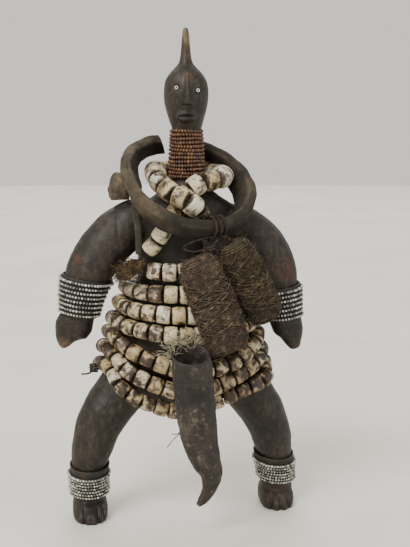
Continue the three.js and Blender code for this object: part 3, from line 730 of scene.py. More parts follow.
choker_beads = Beads(3)
threads = []
row_pitch = (CHOKER_TOP - CHOKER_BOTTOM) / CHOKER_ROWS
for row in range(CHOKER_ROWS):
    z = CHOKER_BOTTOM + (row + 0.5) * row_pitch
    share = (z - CHOKER_BOTTOM) / (CHOKER_TOP - CHOKER_BOTTOM)
    radius = CHOKER_FOOT_RADIUS + (CHOKER_HEAD_RADIUS - CHOKER_FOOT_RADIUS) * share - CHOKER_BEAD[2]
    centre = np.array([*NECK, z])
    circle = section(centre, (radius, 0, 0), (0, radius, 0), 72)
    circle[:, 2] += 0.25 * np.sin(np.arange(72) / 72 * math.tau * 2 + row)
    seed_row(choker_beads, circle, centre, CHOKER_BEAD, CHOKER_PITCH, 0.035)
    threads.append([section(p, unit(p - centre) * CHOKER_THREAD, (0, 0, CHOKER_THREAD), 5) for p in circle])
for rings in threads:
    choker_beads.add_ground(*skin(rings, joined=True))


def glass_beads(name, dirt, soil, *tones):
    """Old glass beads of several tones, dull with dirt between them"""
    place, finish = new_material(name)
    ground = place.stored("wear")
    grime = place.noise(420, 4, 0.65)
    colour = place.stored("tone").ramp(*tones).painted(
        (dirt, grime.over(0.5, 0.72) * soil), (dirt, place.stored("stain") * 0.85), (dirt, ground),
    )
    return finish(colour, 0.32 + grime.over(0.4, 0.75) * 0.3 + ground * 0.4, grime, 0.12, 0.6)


choker_beads.piece("neck_choker", glass_beads(
    "brick_glass", "1f1610", 0.55, (0.0, "40271a"), (0.3, "4f2f1d"), (0.6, "5a3720"), (0.85, "674526"),
    (0.95, "74552f"), (1.0, "4d4138"),
), "brick_beads")

# Shell strings
# Seven strings of drum-shaped beads cut from shell and drilled, cream to white, chipped, with brown
# dirt in their grooves: three round the waist, three round the hips and thighs, one on the chest.
STRING_ROOM = 1.5
SIDE_RADIUS, FRONT_RADIUS = 4.6, 5.7
BEAD_LENGTH = 9.5
CHEST_BEAD_LENGTH = 9.8
CHEST_RADIUS, CHEST_WIDE_RADIUS = 5.4, 6.4
CHEST_WIDE_FROM = 204  # the height from which the chest string's beads are the wide ones
THREAD_RADIUS = 0.55
GIRDLE_SHAPE = 1.8
WAIST = (-1.8, 3.8)
PLACES = [-90, -60, -30, 0, 30, 60, 90, 180]  # round the waist, in degrees from the front to the left
GIRDLES = {  # heights of each string's middle at those places
    "waist_string_1": [154.2, 153.9, 153.2, 152.7, 152.1, 151.3, 151, 151.5],
    "waist_string_2": [144, 143.1, 141, 139.4, 140, 140.7, 141, 139.5],
    "waist_string_3": [134, 132.5, 129.2, 126.5, 128.2, 130.3, 131.2, 127.8],
    "hip_string_1": [125, 122.5, 113, 104.5, 107.5, 118.5, 121.5, 115.5],
    "hip_string_2": [115.2, 112.2, 98, 89, 96.6, 106.8, 111, 103.5],
    "hip_string_3": [104, 102, 82, 75.5, 84.5, 94, 102, 91.5],
}
CHEST_ROUTE = [
    (-26.4, -15, 179.6), (-22.6, -17.4, 184), (-16.4, -20.2, 193.6), (-9.6, -20.8, 204.6), (-3, -18.4, 214.2),
    (4, -17, 221), (12, -15.6, 223.9), (20.4, -10, 225.2), (23.8, -1, 226.4), (20, 8.4, 227),
    (13.4, 16.2, 227.6), (4.5, 21.8, 228), (-6, 21.4, 228), (-13.6, 16, 228.2), (-17.8, 8.4, 229),
    (-20.2, -0.8, 229.4), (-20.4, -10.5, 227), (-17.8, -19.4, 222), (-12.2, -27.4, 217.2),
    (-3.5, -31.6, 212.6), (4, -29.2, 207), (8.6, -24, 200.6), (10.6, -20.6, 191.4), (13.6, -20.8, 183),
    (9.5, -22.8, 174.5), (1, -24, 169), (-8.5, -23.6, 167), (-18, -21.6, 167), (-26.4, -17, 167.4),
]
KNOT = [(-61.2, -3, 102), (-63.4, -4.4, 99.4), (-66, -4.6, 98.6), (-69.4, -4.2, 98.4)]
KNOT_SIZE = 2.5
LOOSE_ENDS = [
    [(-8, -28, 76), (-6.5, -34, 70.2), (-8.1, -37, 66.6), (-12.8, -38.5, 62.6), (-17.4, -39.5, 57.6)],
    [(-8.1, -37, 66.6), (-10.8, -38, 65.7), (-14.7, -38.5, 66)],
]
DRUM_PROFILE = [
    (-0.34, 0.13), (-0.45, 0.2), (-0.49, 0.36), (-0.495, 0.7), (-0.47, 0.88), (-0.4, 0.985), (-0.2, 1.03),
    (0.0, 1.04), (0.2, 1.03), (0.4, 0.985), (0.47, 0.88), (0.495, 0.7), (0.49, 0.36), (0.45, 0.2),
    (0.34, 0.13),
]
DRUM_SIDES = 20


def station_at(stations, z, column):
    """The numbers of a limb or trunk at a height, and how steeply it leans there"""
    rows = np.array(stations)
    heights = rows[:, column]
    if not heights.min() <= z <= heights.max():
        return None
    order = np.argsort(heights)
    values = [np.interp(z, heights[order], rows[order, i]) for i in range(5)]
    i = int(np.clip(np.searchsorted(heights[order], z), 1, len(rows) - 1))
    near, far = rows[order[i - 1]], rows[order[i]]
    return values, math.hypot(far[0] - near[0], far[2] - near[2]) / abs(far[column] - near[column])


def level_cuts(z):
    """The ellipses in which a level plane cuts the trunk and the thighs"""
    cuts = []
    for leg in (RIGHT_LEG, LEFT_LEG):
        found = station_at(leg, z, 2)
        if found:
            (x, y, _, wide, deep), stretch = found
            cuts.append((x, y, wide * stretch, deep))
    found = station_at(TRUNK, z, 0)
    if found:
        cuts.append(tuple(found[0][1:]))
    return cuts


def reach(cuts, turn):
    """How far the body reaches at a height in a direction, turned from the front to the doll's left"""
    sine, cosine = math.sin(turn), math.cos(turn)
    return max(x * sine - y * cosine + math.hypot(w * sine, d * cosine) for x, y, w, d in cuts)


def taut_point(z, place):
    """Where a string drawn tight round the body at a height passes a place of its round"""
    cuts, nudge = level_cuts(z), math.radians(4)
    low, high = place - math.pi / 2, place + math.pi / 2
    for _ in range(24):
        middle = (low + high) / 2
        turn = math.atan2(math.sin(middle) / GIRDLE_SHAPE, math.cos(middle))
        radius = SIDE_RADIUS + (FRONT_RADIUS - SIDE_RADIUS) * math.cos(turn) ** 2
        out = reach(cuts, turn) + radius + STRING_ROOM
        along = (reach(cuts, turn + nudge) - reach(cuts, turn - nudge)) / (2 * nudge)
        x = out * math.sin(turn) + along * math.cos(turn)
        y = -out * math.cos(turn) + along * math.sin(turn)
        if (x - WAIST[0]) / GIRDLE_SHAPE * math.cos(place) + (y - WAIST[1]) * math.sin(place) > 0:
            high = middle
        else:
            low = middle
    return x, y, z


def girdle_curve(heights):
    """A closed string drawn tight round the body, through its heights at the places of its round"""
    knots = [(math.radians(place), height) for place, height in zip(PLACES, heights)]
    (first, a), (second, b), (last, c) = knots[0], knots[1], knots[-1]
    rise = smooth_rows([(last - math.tau, c), *knots, (first + math.tau, a), (second + math.tau, b)], 9)
    return smooth_rows([taut_point(height, place) for place, height in rise[9:-10]], 6, closed=True)


def chipped(chance, chips):
    """A change to a drum bead: uneven ends, and a few chips broken from its rims"""
    places = [(chance.random(), chance.choice([0, 1]), 0.16 + 0.22 * chance.random()) for _ in range(chips)]
    wave = [chance.gauss(0, 0.022) for _ in range(4)]

    def change(rings):
        count, sides = len(rings), len(rings[0])
        wear = np.zeros((count, sides))
        centre = np.array([ring.mean(0) for ring in rings])
        along = centre[-1] - centre[0]
        for r in range(count):
            t = 2 * r / (count - 1) - 1
            for i in range(sides):
                angle = i / sides
                lump = sum(w * math.sin(math.tau * (k + 1) * angle + k * 2.1 + t) for k, w in enumerate(wave))
                away = rings[r][i] - centre[r]
                rings[r][i] = rings[r][i] + away * lump
                for place, end, depth in places:
                    off = (angle - place + 0.5) % 1 - 0.5
                    near = math.exp(-((off / 0.07) ** 2) - ((t - (0.95 if end else -0.95)) / 0.45) ** 2)
                    wear[r, i] = max(wear[r, i], near)
                    rings[r][i] = rings[r][i] - away * depth * near * 0.8
                    rings[r][i] = rings[r][i] - along * (1 if end else -1) * depth * near * 0.3
        return rings, wear

    return change


def string_beads(name, curve, count, closed, radius_at, stain_and_shade_at):
    """Drum beads along a curve and their thread; radius_at tells each bead's size, stain_and_shade_at its
    stain and painted shade
    """
    beads = Beads(name)
    chance = beads.chance
    points, directions, run = spaced(curve, count, closed, 0.5)
    pitch = run / count
    for point, along in zip(points, directions):
        outward = (point - np.array([*NECK, 0])) * (1, 1, 0)
        outward = unit(outward - along * (outward @ along))
        along_now = unit(along + outward * chance.gauss(0, 0.04) + (0, 0, chance.gauss(0, 0.04)))
        outward = unit(outward - along_now * (outward @ along_now))
        radius = radius_at(point) * (1 + chance.gauss(0, 0.025))
        size = (pitch * (0.97 + chance.gauss(0, 0.012)), radius, radius * (1 + chance.gauss(0, 0.02)))
        chips = 0 if chance.random() < 0.45 else 1 + (chance.random() < 0.35)
        stain = min(1, max(0, stain_and_shade_at(point) + chance.gauss(0, 0.18)))
        axes = (along_now, np.cross(along_now, outward), outward)
        beads.add(point, axes, DRUM_PROFILE, DRUM_SIDES, size, stain, chipped(chance, chips))
    thread = spaced(curve, 4 * count, closed, 0)[0]
    rings = []
    for point, along in zip(thread, np.roll(thread, -1, 0) - np.roll(thread, 1, 0)):
        across = np.cross(along, (0.3, 0.2, 1))
        upward = unit(np.cross(along, across))
        rings.append(section(point, unit(across) * THREAD_RADIUS, upward * THREAD_RADIUS, 6))
    beads.add_ground(*skin(rings if closed else rings[1:-1], joined=closed))
    return beads


def steady_sides(points):
    """At each point of a line, two directions across it that don't twist about it"""
    side = np.array([0.37, 0.61, 0.7])
    made = []
    for i in range(len(points)):
        along = heading(points, i)
        side = unit(side - along * (side @ along))
        made.append((side, np.cross(along, side)))
    return made


def tube(points, radius, sides=5, taper=None):
    """The skin of a round strand along points"""
    points = np.asarray(points, float)
    rings = []
    for i, (point, (side, across)) in enumerate(zip(points, steady_sides(points))):
        size = radius * (taper[i] if taper is not None else 1)
        rings.append(section(point, side * size, across * size, sides))
    return skin(rings)


def loose_threads():
    """Skins of the knot at the doll's right, its tail, and the thread's loose ends in front"""
    turns = [(math.sin(1.9 * i), math.cos(1.9 * i) * math.sin(0.7 * i), math.cos(0.7 * i)) for i in range(40)]
    knot = np.array(KNOT[0]) + np.array(turns) * KNOT_SIZE
    ends = [tube(smooth_rows(route, 8), 0.3, 6) for route in LOOSE_ENDS]
    return [tube(knot, 0.75, 6), tube(smooth_rows(KNOT, 5), 0.6, 6), *ends]


def girdle_radius(point):
    """The beads are widest at the front and back, narrowest at the sides"""
    x, y = point[0] - NECK[0], point[1] - NECK[1]
    return SIDE_RADIUS + (FRONT_RADIUS - SIDE_RADIUS) * (y**2 / (x**2 + y**2))


def girdle_brown(point):
    """The beads are browner at the sides, the back and the hips, and paler at the middle of the waist"""
    x, y, z = point
    brown = 0.15 + 0.35 * (x < -20) + 0.3 * (y > 10) + 0.25 * (z < 126) + 0.35 * (x > 18)
    return brown - 0.3 * (abs(x + 5) < 11 and z > 124 and y < 0)


def chest_stain_and_shade(point):
    """The beads are browner behind the neck; where they go down on the left under the collar, painted shade
    of the collar makes them darkest
    """
    return 0.2 + 0.4 * (point[1] > 0) + 0.9 * (point[0] > 2 and 170 < point[2] < 209)


place, finish = new_material("old_shell")
# stain holds each bead's brown stain, and the collar's painted shadow on the chest string
stain, rim = place.stored("stain"), place.stored("rim")
cloud = place.noise(90, 4, 0.6)
speck = place.noise(330, 5, 0.7)
blot = place.noise(150, 5, 0.68, 0.5)
shell_tone = place.stored("tone").ramp(
    (0.0, "9f8c60"), (0.2, "b9a980"), (0.45, "cabf9c"), (0.75, "d6cfb4"), (1.0, "c8c3ae"),
).painted(
    ("9a8458", cloud.over(0.42, 0.7) * 0.45),
    ("6b5030", stain * (0.18 + cloud.over(0.38, 0.62) * 0.5)),
    ("5a4025", (blot + stain * 0.14).over(0.52, 0.58) * 0.75),
    ("241a11", (blot + stain * 0.16).over(0.6, 0.64) * 0.92),
    ("33261a", speck.over(0.58, 0.66) * 0.6),
    ("2a1f15", (rim + (speck - 0.5) * 1.2).over(0.45, 0.95) * 0.9),
    ("21180f", place.stored("wear").over(0.3, 0.7) * (0.75 + speck.over(0.4, 0.6) * 0.25)),
)
height = speck * 0.6 + place.noise(260, 2, 0.5) * 0.4
shell = finish(shell_tone, 0.42 + speck.over(0.4, 0.7) * 0.3, height, 0.3, 0.6)

for name, heights in GIRDLES.items():
    curve = girdle_curve(heights)
    count = round(spaced(curve, 10)[2] / BEAD_LENGTH)
    string = string_beads(name, curve, count, True, girdle_radius, girdle_brown)
    if name == "hip_string_3":
        for points, faces in loose_threads():
            string.add_ground(points, faces)
    string.piece(name, shell, "shell")

curve = smooth_rows(CHEST_ROUTE, 12)
string_beads(
    "chest_string", curve, round(spaced(curve, 10, False)[2] / CHEST_BEAD_LENGTH), False,
    lambda p: CHEST_WIDE_RADIUS if p[2] >= CHEST_WIDE_FROM else CHEST_RADIUS, chest_stain_and_shade,
).piece("chest_string", shell, "shell")

# Collar
# A stiff band of thick hide, folded and bent into an open ring round the neck, grey-brown and mottled,
# rubbed lighter along its inner rim. Painted light pales it where the light falls at either side, and
# painted shade darkens its inside nearly to black and its low front. It tilts down at the front.
COLLAR = {
    "centre": (-0.6, -8.9, 220.6), "tilt": 38, "roll": 13.9, "radius": 39.1, "widen": 1.08,
    "thick": 8.6, "high": 12.6, "first": 117, "last": 465, "slant": 0.45,
}
COLLAR_SIDES = 40
# Where the band leans outward, how far, over what spread, and how much taller it stands there
FLARES = [(190, 40, 0.5, 4.5), (360, 20, 0.5, 2), (395, 9, 0.5, 4)]
collar_turn = Matrix.Rotation(math.radians(COLLAR["tilt"]), 3, "X")
collar_lean = Matrix.Rotation(math.radians(COLLAR["roll"]), 3, "Y")
# The ring's own axes: towards its left end, towards its high back, and its normal
collar_axes = [np.array(collar_lean @ (collar_turn @ Vector(axis))) for axis in np.eye(3)]


def collar_section(degrees, grow=0.0, sides=COLLAR_SIDES):
    """The band's section, leaning about its outer top edge so that its foot comes inward"""
    angle = math.radians(degrees)
    across, back, normal = collar_axes
    outward = across * math.cos(angle) + back * math.sin(angle)
    flare, high = 0, COLLAR["high"] / 2
    for at, most, spread, taller in FLARES:
        near = math.exp((math.cos(angle - math.radians(at)) - 1) / spread**2)
        flare += math.radians(most) * near
        high += taller / 2 * near
    through = outward * math.cos(flare) - normal * math.sin(flare)
    upward = normal * math.cos(flare) + outward * math.sin(flare)
    thick = COLLAR["thick"] / 2
    centre = np.array(COLLAR["centre"]) + across * COLLAR["radius"] * COLLAR["widen"] * math.cos(angle)
    centre = centre + back * COLLAR["radius"] * math.sin(angle)
    centre = centre + (outward - through) * thick + normal * COLLAR["high"] / 2 - upward * high
    return section(centre, through * (thick + grow), upward * (high + grow), sides, 3.4, 0.5)


first, last = COLLAR["first"], COLLAR["last"]
collar_places = [first, first, *np.linspace(first, last, 150), last, last]
end_along = collar_axes[1] * math.cos(math.radians(first)) - collar_axes[0] * math.sin(math.radians(first))
collar_rings = []
for degrees in collar_places:
    ring = collar_section(degrees)
    slant = COLLAR["slant"] * max(0, 1 - (degrees - first) / 18)
    rise = (ring - ring.mean(0)) @ collar_axes[2]
    collar_rings.append(ring + np.outer(slant * rise, end_along))
for i, shrink in ((0, 0.5), (1, 0.93), (-2, 0.93), (-1, 0.5)):
    centre = collar_rings[i].mean(0)
    collar_rings[i] = centre + (collar_rings[i] - centre) * shrink

place, finish = new_material("stiff_hide")
mottle = place.noise(45, 5, 0.65)
hide_tone = mottle.ramp((0.3, "15120e"), (0.48, "262019"), (0.6, "3b3328"), (0.76, "5b513f"))
# painted light: paler patches where the light falls on the band at either side
LIT_PATCHES = [((-38, -12, 230), 34, 0.5), ((42, -9, 212), 20, 0.2)]  # place, reach, strength
for spot, size, strength in LIT_PATCHES:
    share = place.near(spot, 0.3 * size, size) * place.noise(70, 5, 0.65).over(0.38, 0.6)
    hide_tone = hide_tone.painted(("766a52", share * strength))
hide_tone = hide_tone.painted(
    ("685d4a", place.stored("edge") * place.noise(120, 4).over(0.4, 0.64) * 0.5),
    # painted shade on the band's inner wall, nearly black
    ("0f0b08", place.stored("inside") * 0.8),
    # painted shade on the band's low front, which faces down away from the light
    ("17120f", place.near((4, -42, 198), 14, 34) * 0.5),
)
height = place.noise(180, 5, 0.7, 0.5) * 0.6 + place.noise(600, 3, 0.6) * 0.4
stiff_hide = finish(
    hide_tone, 0.78 + mottle.over(0.3, 0.7) * 0.15, height, 0.8, 0.9, Specular_IOR_Level=0.3,
)
collar = remade("collar", *skin(collar_rings), uneven((0.6, 10, 5), (0.35, 4, 6)), stiff_hide)
turns = (np.arange(COLLAR_SIDES) + 0.5) / COLLAR_SIDES * math.tau
edge_share = peak(turns - math.radians(135), 0.3) + 0.6 * peak(turns - 0.75, 0.25)
hold(collar, "edge", np.tile(edge_share, len(collar_rings)))
# painted shade: the inner wall is darkest at the doll's right, where it faces away from the light
inside_shade_share = 0.7 - 0.3 * np.cos(np.radians(collar_places))  # the wall's inside is darkest at the doll's right
hold(collar, "inside", np.outer(inside_shade_share, peak(turns - math.pi, 0.75, 6)).ravel())
takes_place(collar, "collar")

# Packet and strap
# A small folded packet of brown hide tucked between the collar and the right shoulder, and a narrow
# strap of darker hide that runs from under the collar down to the brush of fibre.
PACKET = [
    [-39.6, 5, 226.4, 4, 4], [-41.4, 4.6, 223.4, 7, 6.6], [-42.4, 4, 216.6, 7.6, 7],
    [-42.4, 3.5, 211, 5.4, 5.4],
]
PACKET_SIDES = 40
STRAP = [
    [-35, -13.6, 209, 2.2, 0.9], [-33.4, -14.8, 200, 2.2, 0.9], [-32.4, -16.4, 190, 2.2, 0.9],
    [-32.4, -18, 178.2, 2.2, 0.9],
]


def brown_hide(name, size, *tones):
    """Brown hide, mottled at that size and specked with dirt"""
    place, finish = new_material(name)
    mottle = place.noise(size, 5, 0.65)
    speck = place.noise(size * 6, 4, 0.7)
    colour = mottle.ramp(*tones).painted(("1c1510", speck.over(0.55, 0.7) * 0.6))
    return finish(colour, 0.68, mottle * 0.5 + speck * 0.5, 0.45, 0.8)


packet_rings = []
for i, ring in enumerate(limb_rings(PACKET, PACKET_SIDES, 12)):
    centre = ring.mean(0)
    fold = 1 + 0.07 * np.sin(np.arange(PACKET_SIDES) / PACKET_SIDES * math.tau * 5 + i * 0.25)
    packet_rings.append(centre + (ring - centre) * fold[:, None])
packet_hide = brown_hide(
    "packet_hide", 150, (0.3, "18120c"), (0.48, "3c3021"), (0.6, "5c4a31"), (0.72, "86704d"),
)
packet = remade("packet", *skin(packet_rings), uneven((0.7, 4, 8), (0.3, 1.6, 9)), packet_hide)
takes_place(packet, "packet")
strap_rings = [
    section((x, y, z), (wide, 0.25, 0), (0, deep, 0), 20, 3.2)
    for x, y, z, wide, deep in smooth_rows(STRAP, 14)
]
strap_hide = brown_hide("strap_hide", 90, (0.3, "15120b"), (0.5, "262116"), (0.7, "3d3626"))
strap = remade("strap", *skin(strap_rings), uneven((0.18, 3, 10)), strap_hide)
takes_place(strap, "strap")

# Tuft
# A brush of loose brown plant fibre in which the long string ends. It is bound to nothing at its far
# end, and its strands bend to the doll's right.
TUFT = [
    [-28.6, -16.8, 173.4, 2.4, 2.4], [-32.4, -18.4, 171.2, 5, 4], [-38, -18.6, 168, 6.6, 4.6],
    [-43, -17, 165.4, 6, 4], [-46, -15.6, 164, 3.6, 2.6],
]
TUFT_STRANDS = 420


def strands(chance, starts, ends, bow, radius, points=7, wander=0.6):
    """Loose strands, each from one start to one end with a bow and a little wander"""
    shapes = []
    for begin, end in zip(starts, ends):
        begin, end = np.asarray(begin, float), np.asarray(end, float)
        side = np.array([chance.gauss(0, 1) for _ in range(3)])
        route = []
        for i in range(points):
            t = i / (points - 1)
            lift = math.sin(math.pi * t)
            shake = np.array([chance.gauss(0, wander) for _ in range(3)]) * (0.2 + t)
            route.append(begin + (end - begin) * t + (np.asarray(bow) + side * 0.8) * lift + shake * (i > 0))
        fine = smooth_rows(route, 3)
        taper = np.linspace(1, 0.45, len(fine))
        shapes.append(tube(fine, radius * (0.7 + 0.6 * chance.random()), 4, taper))
    return shapes


def fibre_piece(node, shapes, finish_name, dark, middle, light):
    """A piece of fibre from its strands and its three tones"""
    place, finish = new_material(finish_name)
    strand = place.noise(350, 4, 0.65)
    colour = strand.ramp((0.3, dark), (0.5, middle), (0.7, light))
    colour = colour.painted((dark, place.noise(60, 4, 0.6).over(0.48, 0.7) * 0.6))
    made = new_object(node, *together(shapes), finish(colour, 0.9, strand, 0.3, 0.8))
    takes_place(made, node)


def within(row, chance, spread):
    """A place in or about one section of the tuft"""
    return [row[k] + chance.uniform(-spread, spread) * (row[4] if k == 1 else row[3]) for k in range(3)]


chance = random.Random(11)
tuft_rows = smooth_rows(TUFT, 4)
last = len(tuft_rows) - 1
starts, ends = [], []
for _ in range(TUFT_STRANDS):
    low, high = sorted((chance.random() * 0.45, 0.45 + 0.6 * chance.random()))
    starts.append(within(tuft_rows[int(low * last)], chance, 0.7))
    ends.append(within(tuft_rows[min(last, int(high * last))], chance, 1.1))
core = skin(limb_rings([[x, y, z, wide * 0.7, deep * 0.7] for x, y, z, wide, deep in TUFT], 20, 5))
tuft_shapes = [core] + strands(chance, starts, ends, (0, -0.8, 0.9), 0.22, 7, 0.85)
fibre_piece("tuft", tuft_shapes, "tuft_fibre", "19120b", "3f301e", "7a603c")

# Bundles
# Two bundles closely wound with hand-twisted fibre twine over a soft core, with looser yarns laid
# across the winding and frayed ends all over, hung from the collar.
BUNDLES = {
    "bundle_right": [(1.2, -41.5, 178.5), (22.4, -46.4, 120.5), 13.6, 11.6],
    "bundle_left": [(23.8, -40, 187), (47.4, -34.5, 138), 11.8, 10.6],
}
BUNDLE_SIZES = [[0, 0.62], [0.05, 0.88], [0.16, 1], [0.5, 1.02], [0.86, 1], [0.96, 0.9], [1, 0.66]]
BUNDLE_SHAPE = 2.3  # 2 is round, more is squarer
TWINE_PITCH = 1.3
YARNS = 44
FRAYED_ENDS = 760


def bundle_point(name, share, angle, grow):
    """A point at a share of a bundle's length and an angle round it, stood off by grow"""
    high, low, wide, deep = BUNDLES[name]
    high, low = np.array(high), np.array(low)
    width, depth = limb_frame(unit(low - high))
    size = np.interp(share, *np.array(BUNDLE_SIZES).T)
    along, across = [
        math.copysign(abs(part) ** (2 / BUNDLE_SHAPE), part) for part in (math.cos(angle), math.sin(angle))
    ]
    middle = high + (low - high) * share
    return middle + width * along * (wide * size + grow) + depth * across * (deep * size + grow)


def bundle_shapes(name, chance):
    """The core, its winding of twine, the yarns laid across that, and the frayed ends"""
    shapes = [skin([
        np.array([bundle_point(name, share, math.tau * i / 24, -1.3) for i in range(24)])
        for share in np.linspace(0, 1, 24)
    ])]
    turns = int(np.linalg.norm(np.subtract(*BUNDLES[name][:2])) / TWINE_PITCH)
    steps = 26 * turns
    route = []
    for i in range(steps + 1):
        share = i / steps
        angle = math.tau * turns * share
        tilt = 0.028 * math.sin(angle + 0.6) + 0.012 * noise.noise(Vector((share * 9, 2, 7)))
        wobble = 0.8 * noise.noise(Vector((share * 40, angle * 0.3, 4)))
        tilted = min(1, max(0, share + tilt * math.sin(math.pi * share)))
        route.append(bundle_point(name, tilted, angle, wobble - 0.7))
    shapes.append(tube(route, TWINE_PITCH * 0.52, 6))
    for k in range(YARNS):
        first, last = chance.uniform(0.05, 0.5), chance.uniform(0.45, 0.97)
        begin, sweep = chance.uniform(0, math.tau), chance.choice([-1, 1]) * chance.uniform(2.5, 6)
        yarn = []
        for t in np.linspace(0, 1, 60):
            proud = 0.45 + 0.2 * math.sin(9 * t + k)
            yarn.append(bundle_point(name, first + (last - first) * t, begin + sweep * t, proud))
        shapes.append(tube(yarn, chance.uniform(0.25, 0.5), 5))
    starts, ends = [], []
    for _ in range(FRAYED_ENDS):
        share, angle = chance.random(), chance.uniform(0, math.tau)
        starts.append(bundle_point(name, share, angle, -0.4))
        away = chance.uniform(0.3, 2.4)
        share = min(1, share + chance.uniform(-0.1, 0.14))
        ends.append(bundle_point(name, share, angle + chance.uniform(-0.7, 0.7), away))
    return shapes + strands(chance, starts, ends, (0, 0, -0.3), 0.14, 5, 0.6)


right_shapes = bundle_shapes("bundle_right", random.Random(20))
fibre_piece("bundle_right", right_shapes, "olive_twine", "231b13", "3d3124", "6e5d46")
left_shapes = bundle_shapes("bundle_left", random.Random(21))
fibre_piece("bundle_left", left_shapes, "yellow_twine", "1c160d", "352b1c", "625436")

# Bundle tie
# A reddish twisted cord of two plies, turned round the collar's front and knotted to both bundles,
# with a slack loop of it hanging at the doll's right.
TIE_TURNS = [-65.5, -61, -56.5]
TIE_ROOM = 1.0
TWINE = 1.2
TIE_FRAYS = 60
PLIES = 2
LAY = 5.0  # the length of one twist of a cord, in its radii
TIE_ROUTES = [
    [[(15, -39.4, 191), (13.4, -41, 187.4), (9, -42.2, 182.7)], 1.6],
    [[(15.6, -39.2, 191.2), (19.6, -39.6, 191), (22.6, -40, 188.3)], 1.3],
    [[
        (14.6, -39.6, 191.4), (5, -41, 190), (-4.6, -42.2, 187), (-6.6, -42.4, 184.4), (-2, -42.6, 182.4),
        (5, -42.6, 183.4), (12.6, -41, 187.2),
    ], 0.6],
]


def twisted(route, radius):
    """A twisted cord: plies that wind about each other along a route"""
    fine = smooth_rows(route, 10) if len(route) < 40 else np.asarray(route)
    run = run_along(fine)
    at = np.linspace(0, run[-1], max(8, int(run[-1] / (radius * 0.8))))
    fine = points_along(fine, run, at)
    sides = steady_sides(fine)
    shapes = []
    for ply in range(PLIES):
        path = []
        for point, distance, (side, across) in zip(fine, at, sides):
            turn = math.tau * (distance / (radius * LAY) + ply / PLIES)
            path.append(point + (side * math.cos(turn) + across * math.sin(turn)) * radius * 0.48)
        shapes.append(tube(path, radius * 0.56, 6))
    return shapes


tie_shapes = []
for degrees in TIE_TURNS:
    loop = collar_section(degrees, TIE_ROOM + TWINE / 2, 48)
    tie_shapes += twisted(np.concatenate([loop, loop[:1]]), TWINE * 0.62)
for route, radius in TIE_ROUTES:
    tie_shapes += twisted(route, radius)
chance = random.Random(31)
starts = [[chance.uniform(12, 22), -39.5, chance.uniform(186, 192)] for _ in range(TIE_FRAYS)]
ends = [[x + chance.gauss(0, 3), y - chance.uniform(0, 2.5), z + chance.gauss(0, 3)] for x, y, z in starts]
tie_shapes += strands(chance, starts, ends, (0, -0.6, 0), 0.18, 5, 0.3)
fibre_piece("bundle_tie", tie_shapes, "reddish_cord", "0f0a07", "281a13", "4b362b")

# Horn
# The hollow tip of a small horn in front of the hips, mouth up and a little forward, its point curved
# under. Grey-brown and mottled, with shallow growth bands.
HORN_LINE = [
    [-4, -52.6, 120.3, 11.9], [-2.6, -50.2, 109, 12.6], [-1.2, -49, 96, 12.6], [0.6, -48.4, 78, 12.3],
    [3, -46.4, 63, 11.3], [6.6, -45.6, 51, 9.6], [10, -45, 41, 7.2], [9.2, -44.4, 31.5, 4.8],
    [4.6, -44, 23.4, 3], [1.6, -44, 20.2, 1.2],
]
HORN_HOLLOW = [[0.6, -48.4, 78, 2], [-0.4, -48.6, 86, 8.4], [-1.2, -49, 96, 10.4], [-2.6, -50.2, 109, 11]]
HORN_WALL = 1.6
MOUTH_TILT = math.radians(24)
HORN_BANDS = [[105.6, 0.35, 0.9], [91.6, 0.45, 1.0], [74, 0.25, 1.4], [58, 0.25, 1.2]]
HORN_SIDES = 48


def horn_ring(centre, direction, radius):
    width, depth = limb_frame(direction)
    return section(centre, width * radius, depth * radius, HORN_SIDES)


def horn_rings():
    """One skin: up the inside of the hollow, over the rim, and down the outside to the tip"""
    rim = np.array([0, -math.sin(MOUTH_TILT), math.cos(MOUTH_TILT)])
    line = smooth_rows(HORN_LINE, 12)
    outside = []
    for i, (x, y, z, radius) in enumerate(line):
        blend = min(1, i / 10)
        direction = unit(-heading(line[:, :3], i) * blend + rim * (1 - blend))
        radius = radius - sum(deep * peak(z - at, half) for at, deep, half in HORN_BANDS)
        outside.append(horn_ring((x, y, z), direction, radius))
    upward = unit((0, -0.1, 1))
    inside = [horn_ring((x, y, z), upward, radius) for x, y, z, radius in smooth_rows(HORN_HOLLOW, 5)]
    *mouth, radius = HORN_LINE[0]
    inner = radius - HORN_WALL
    for rise, size in ((-0.5, inner), (0.15, inner + 0.4), (0.25, radius - 0.5)):
        inside.append(horn_ring(np.array(mouth) + rim * rise, rim, size))
    return inside + outside


place, finish = new_material("old_horn")
streak = place.stretched(0.25).noise(140, 5, 0.65)
mottle = place.noise(55, 5, 0.6)
flake = place.noise(210, 5, 0.75)
split = place.stretched(0.4).noise(70, 4, 0.6) - 0.5
split = 1 - (split * split).over(0, 0.0004)
horn_tone = mottle.ramp((0.3, "12100e"), (0.46, "241f1b"), (0.6, "352e28"), (0.75, "4e453a")).painted(
    ("100d0b", streak.over(0.5, 0.68) * 0.7),
    ("7c7261", flake.over(0.54, 0.66) * mottle.over(0.38, 0.58) * 0.65),
    ("070605", split * 0.3),
)
height = streak * 0.4 + flake * 0.6 - split * 0.25
rough = 0.55 + mottle.over(0.3, 0.7) * 0.2
old_horn = finish(horn_tone, rough, height, 0.6, 0.9, Specular_IOR_Level=0.35)
horn = remade("horn", *skin(horn_rings()), uneven((0.35, 7, 12), (0.2, 2.6, 13)), old_horn)
takes_place(horn, "horn")

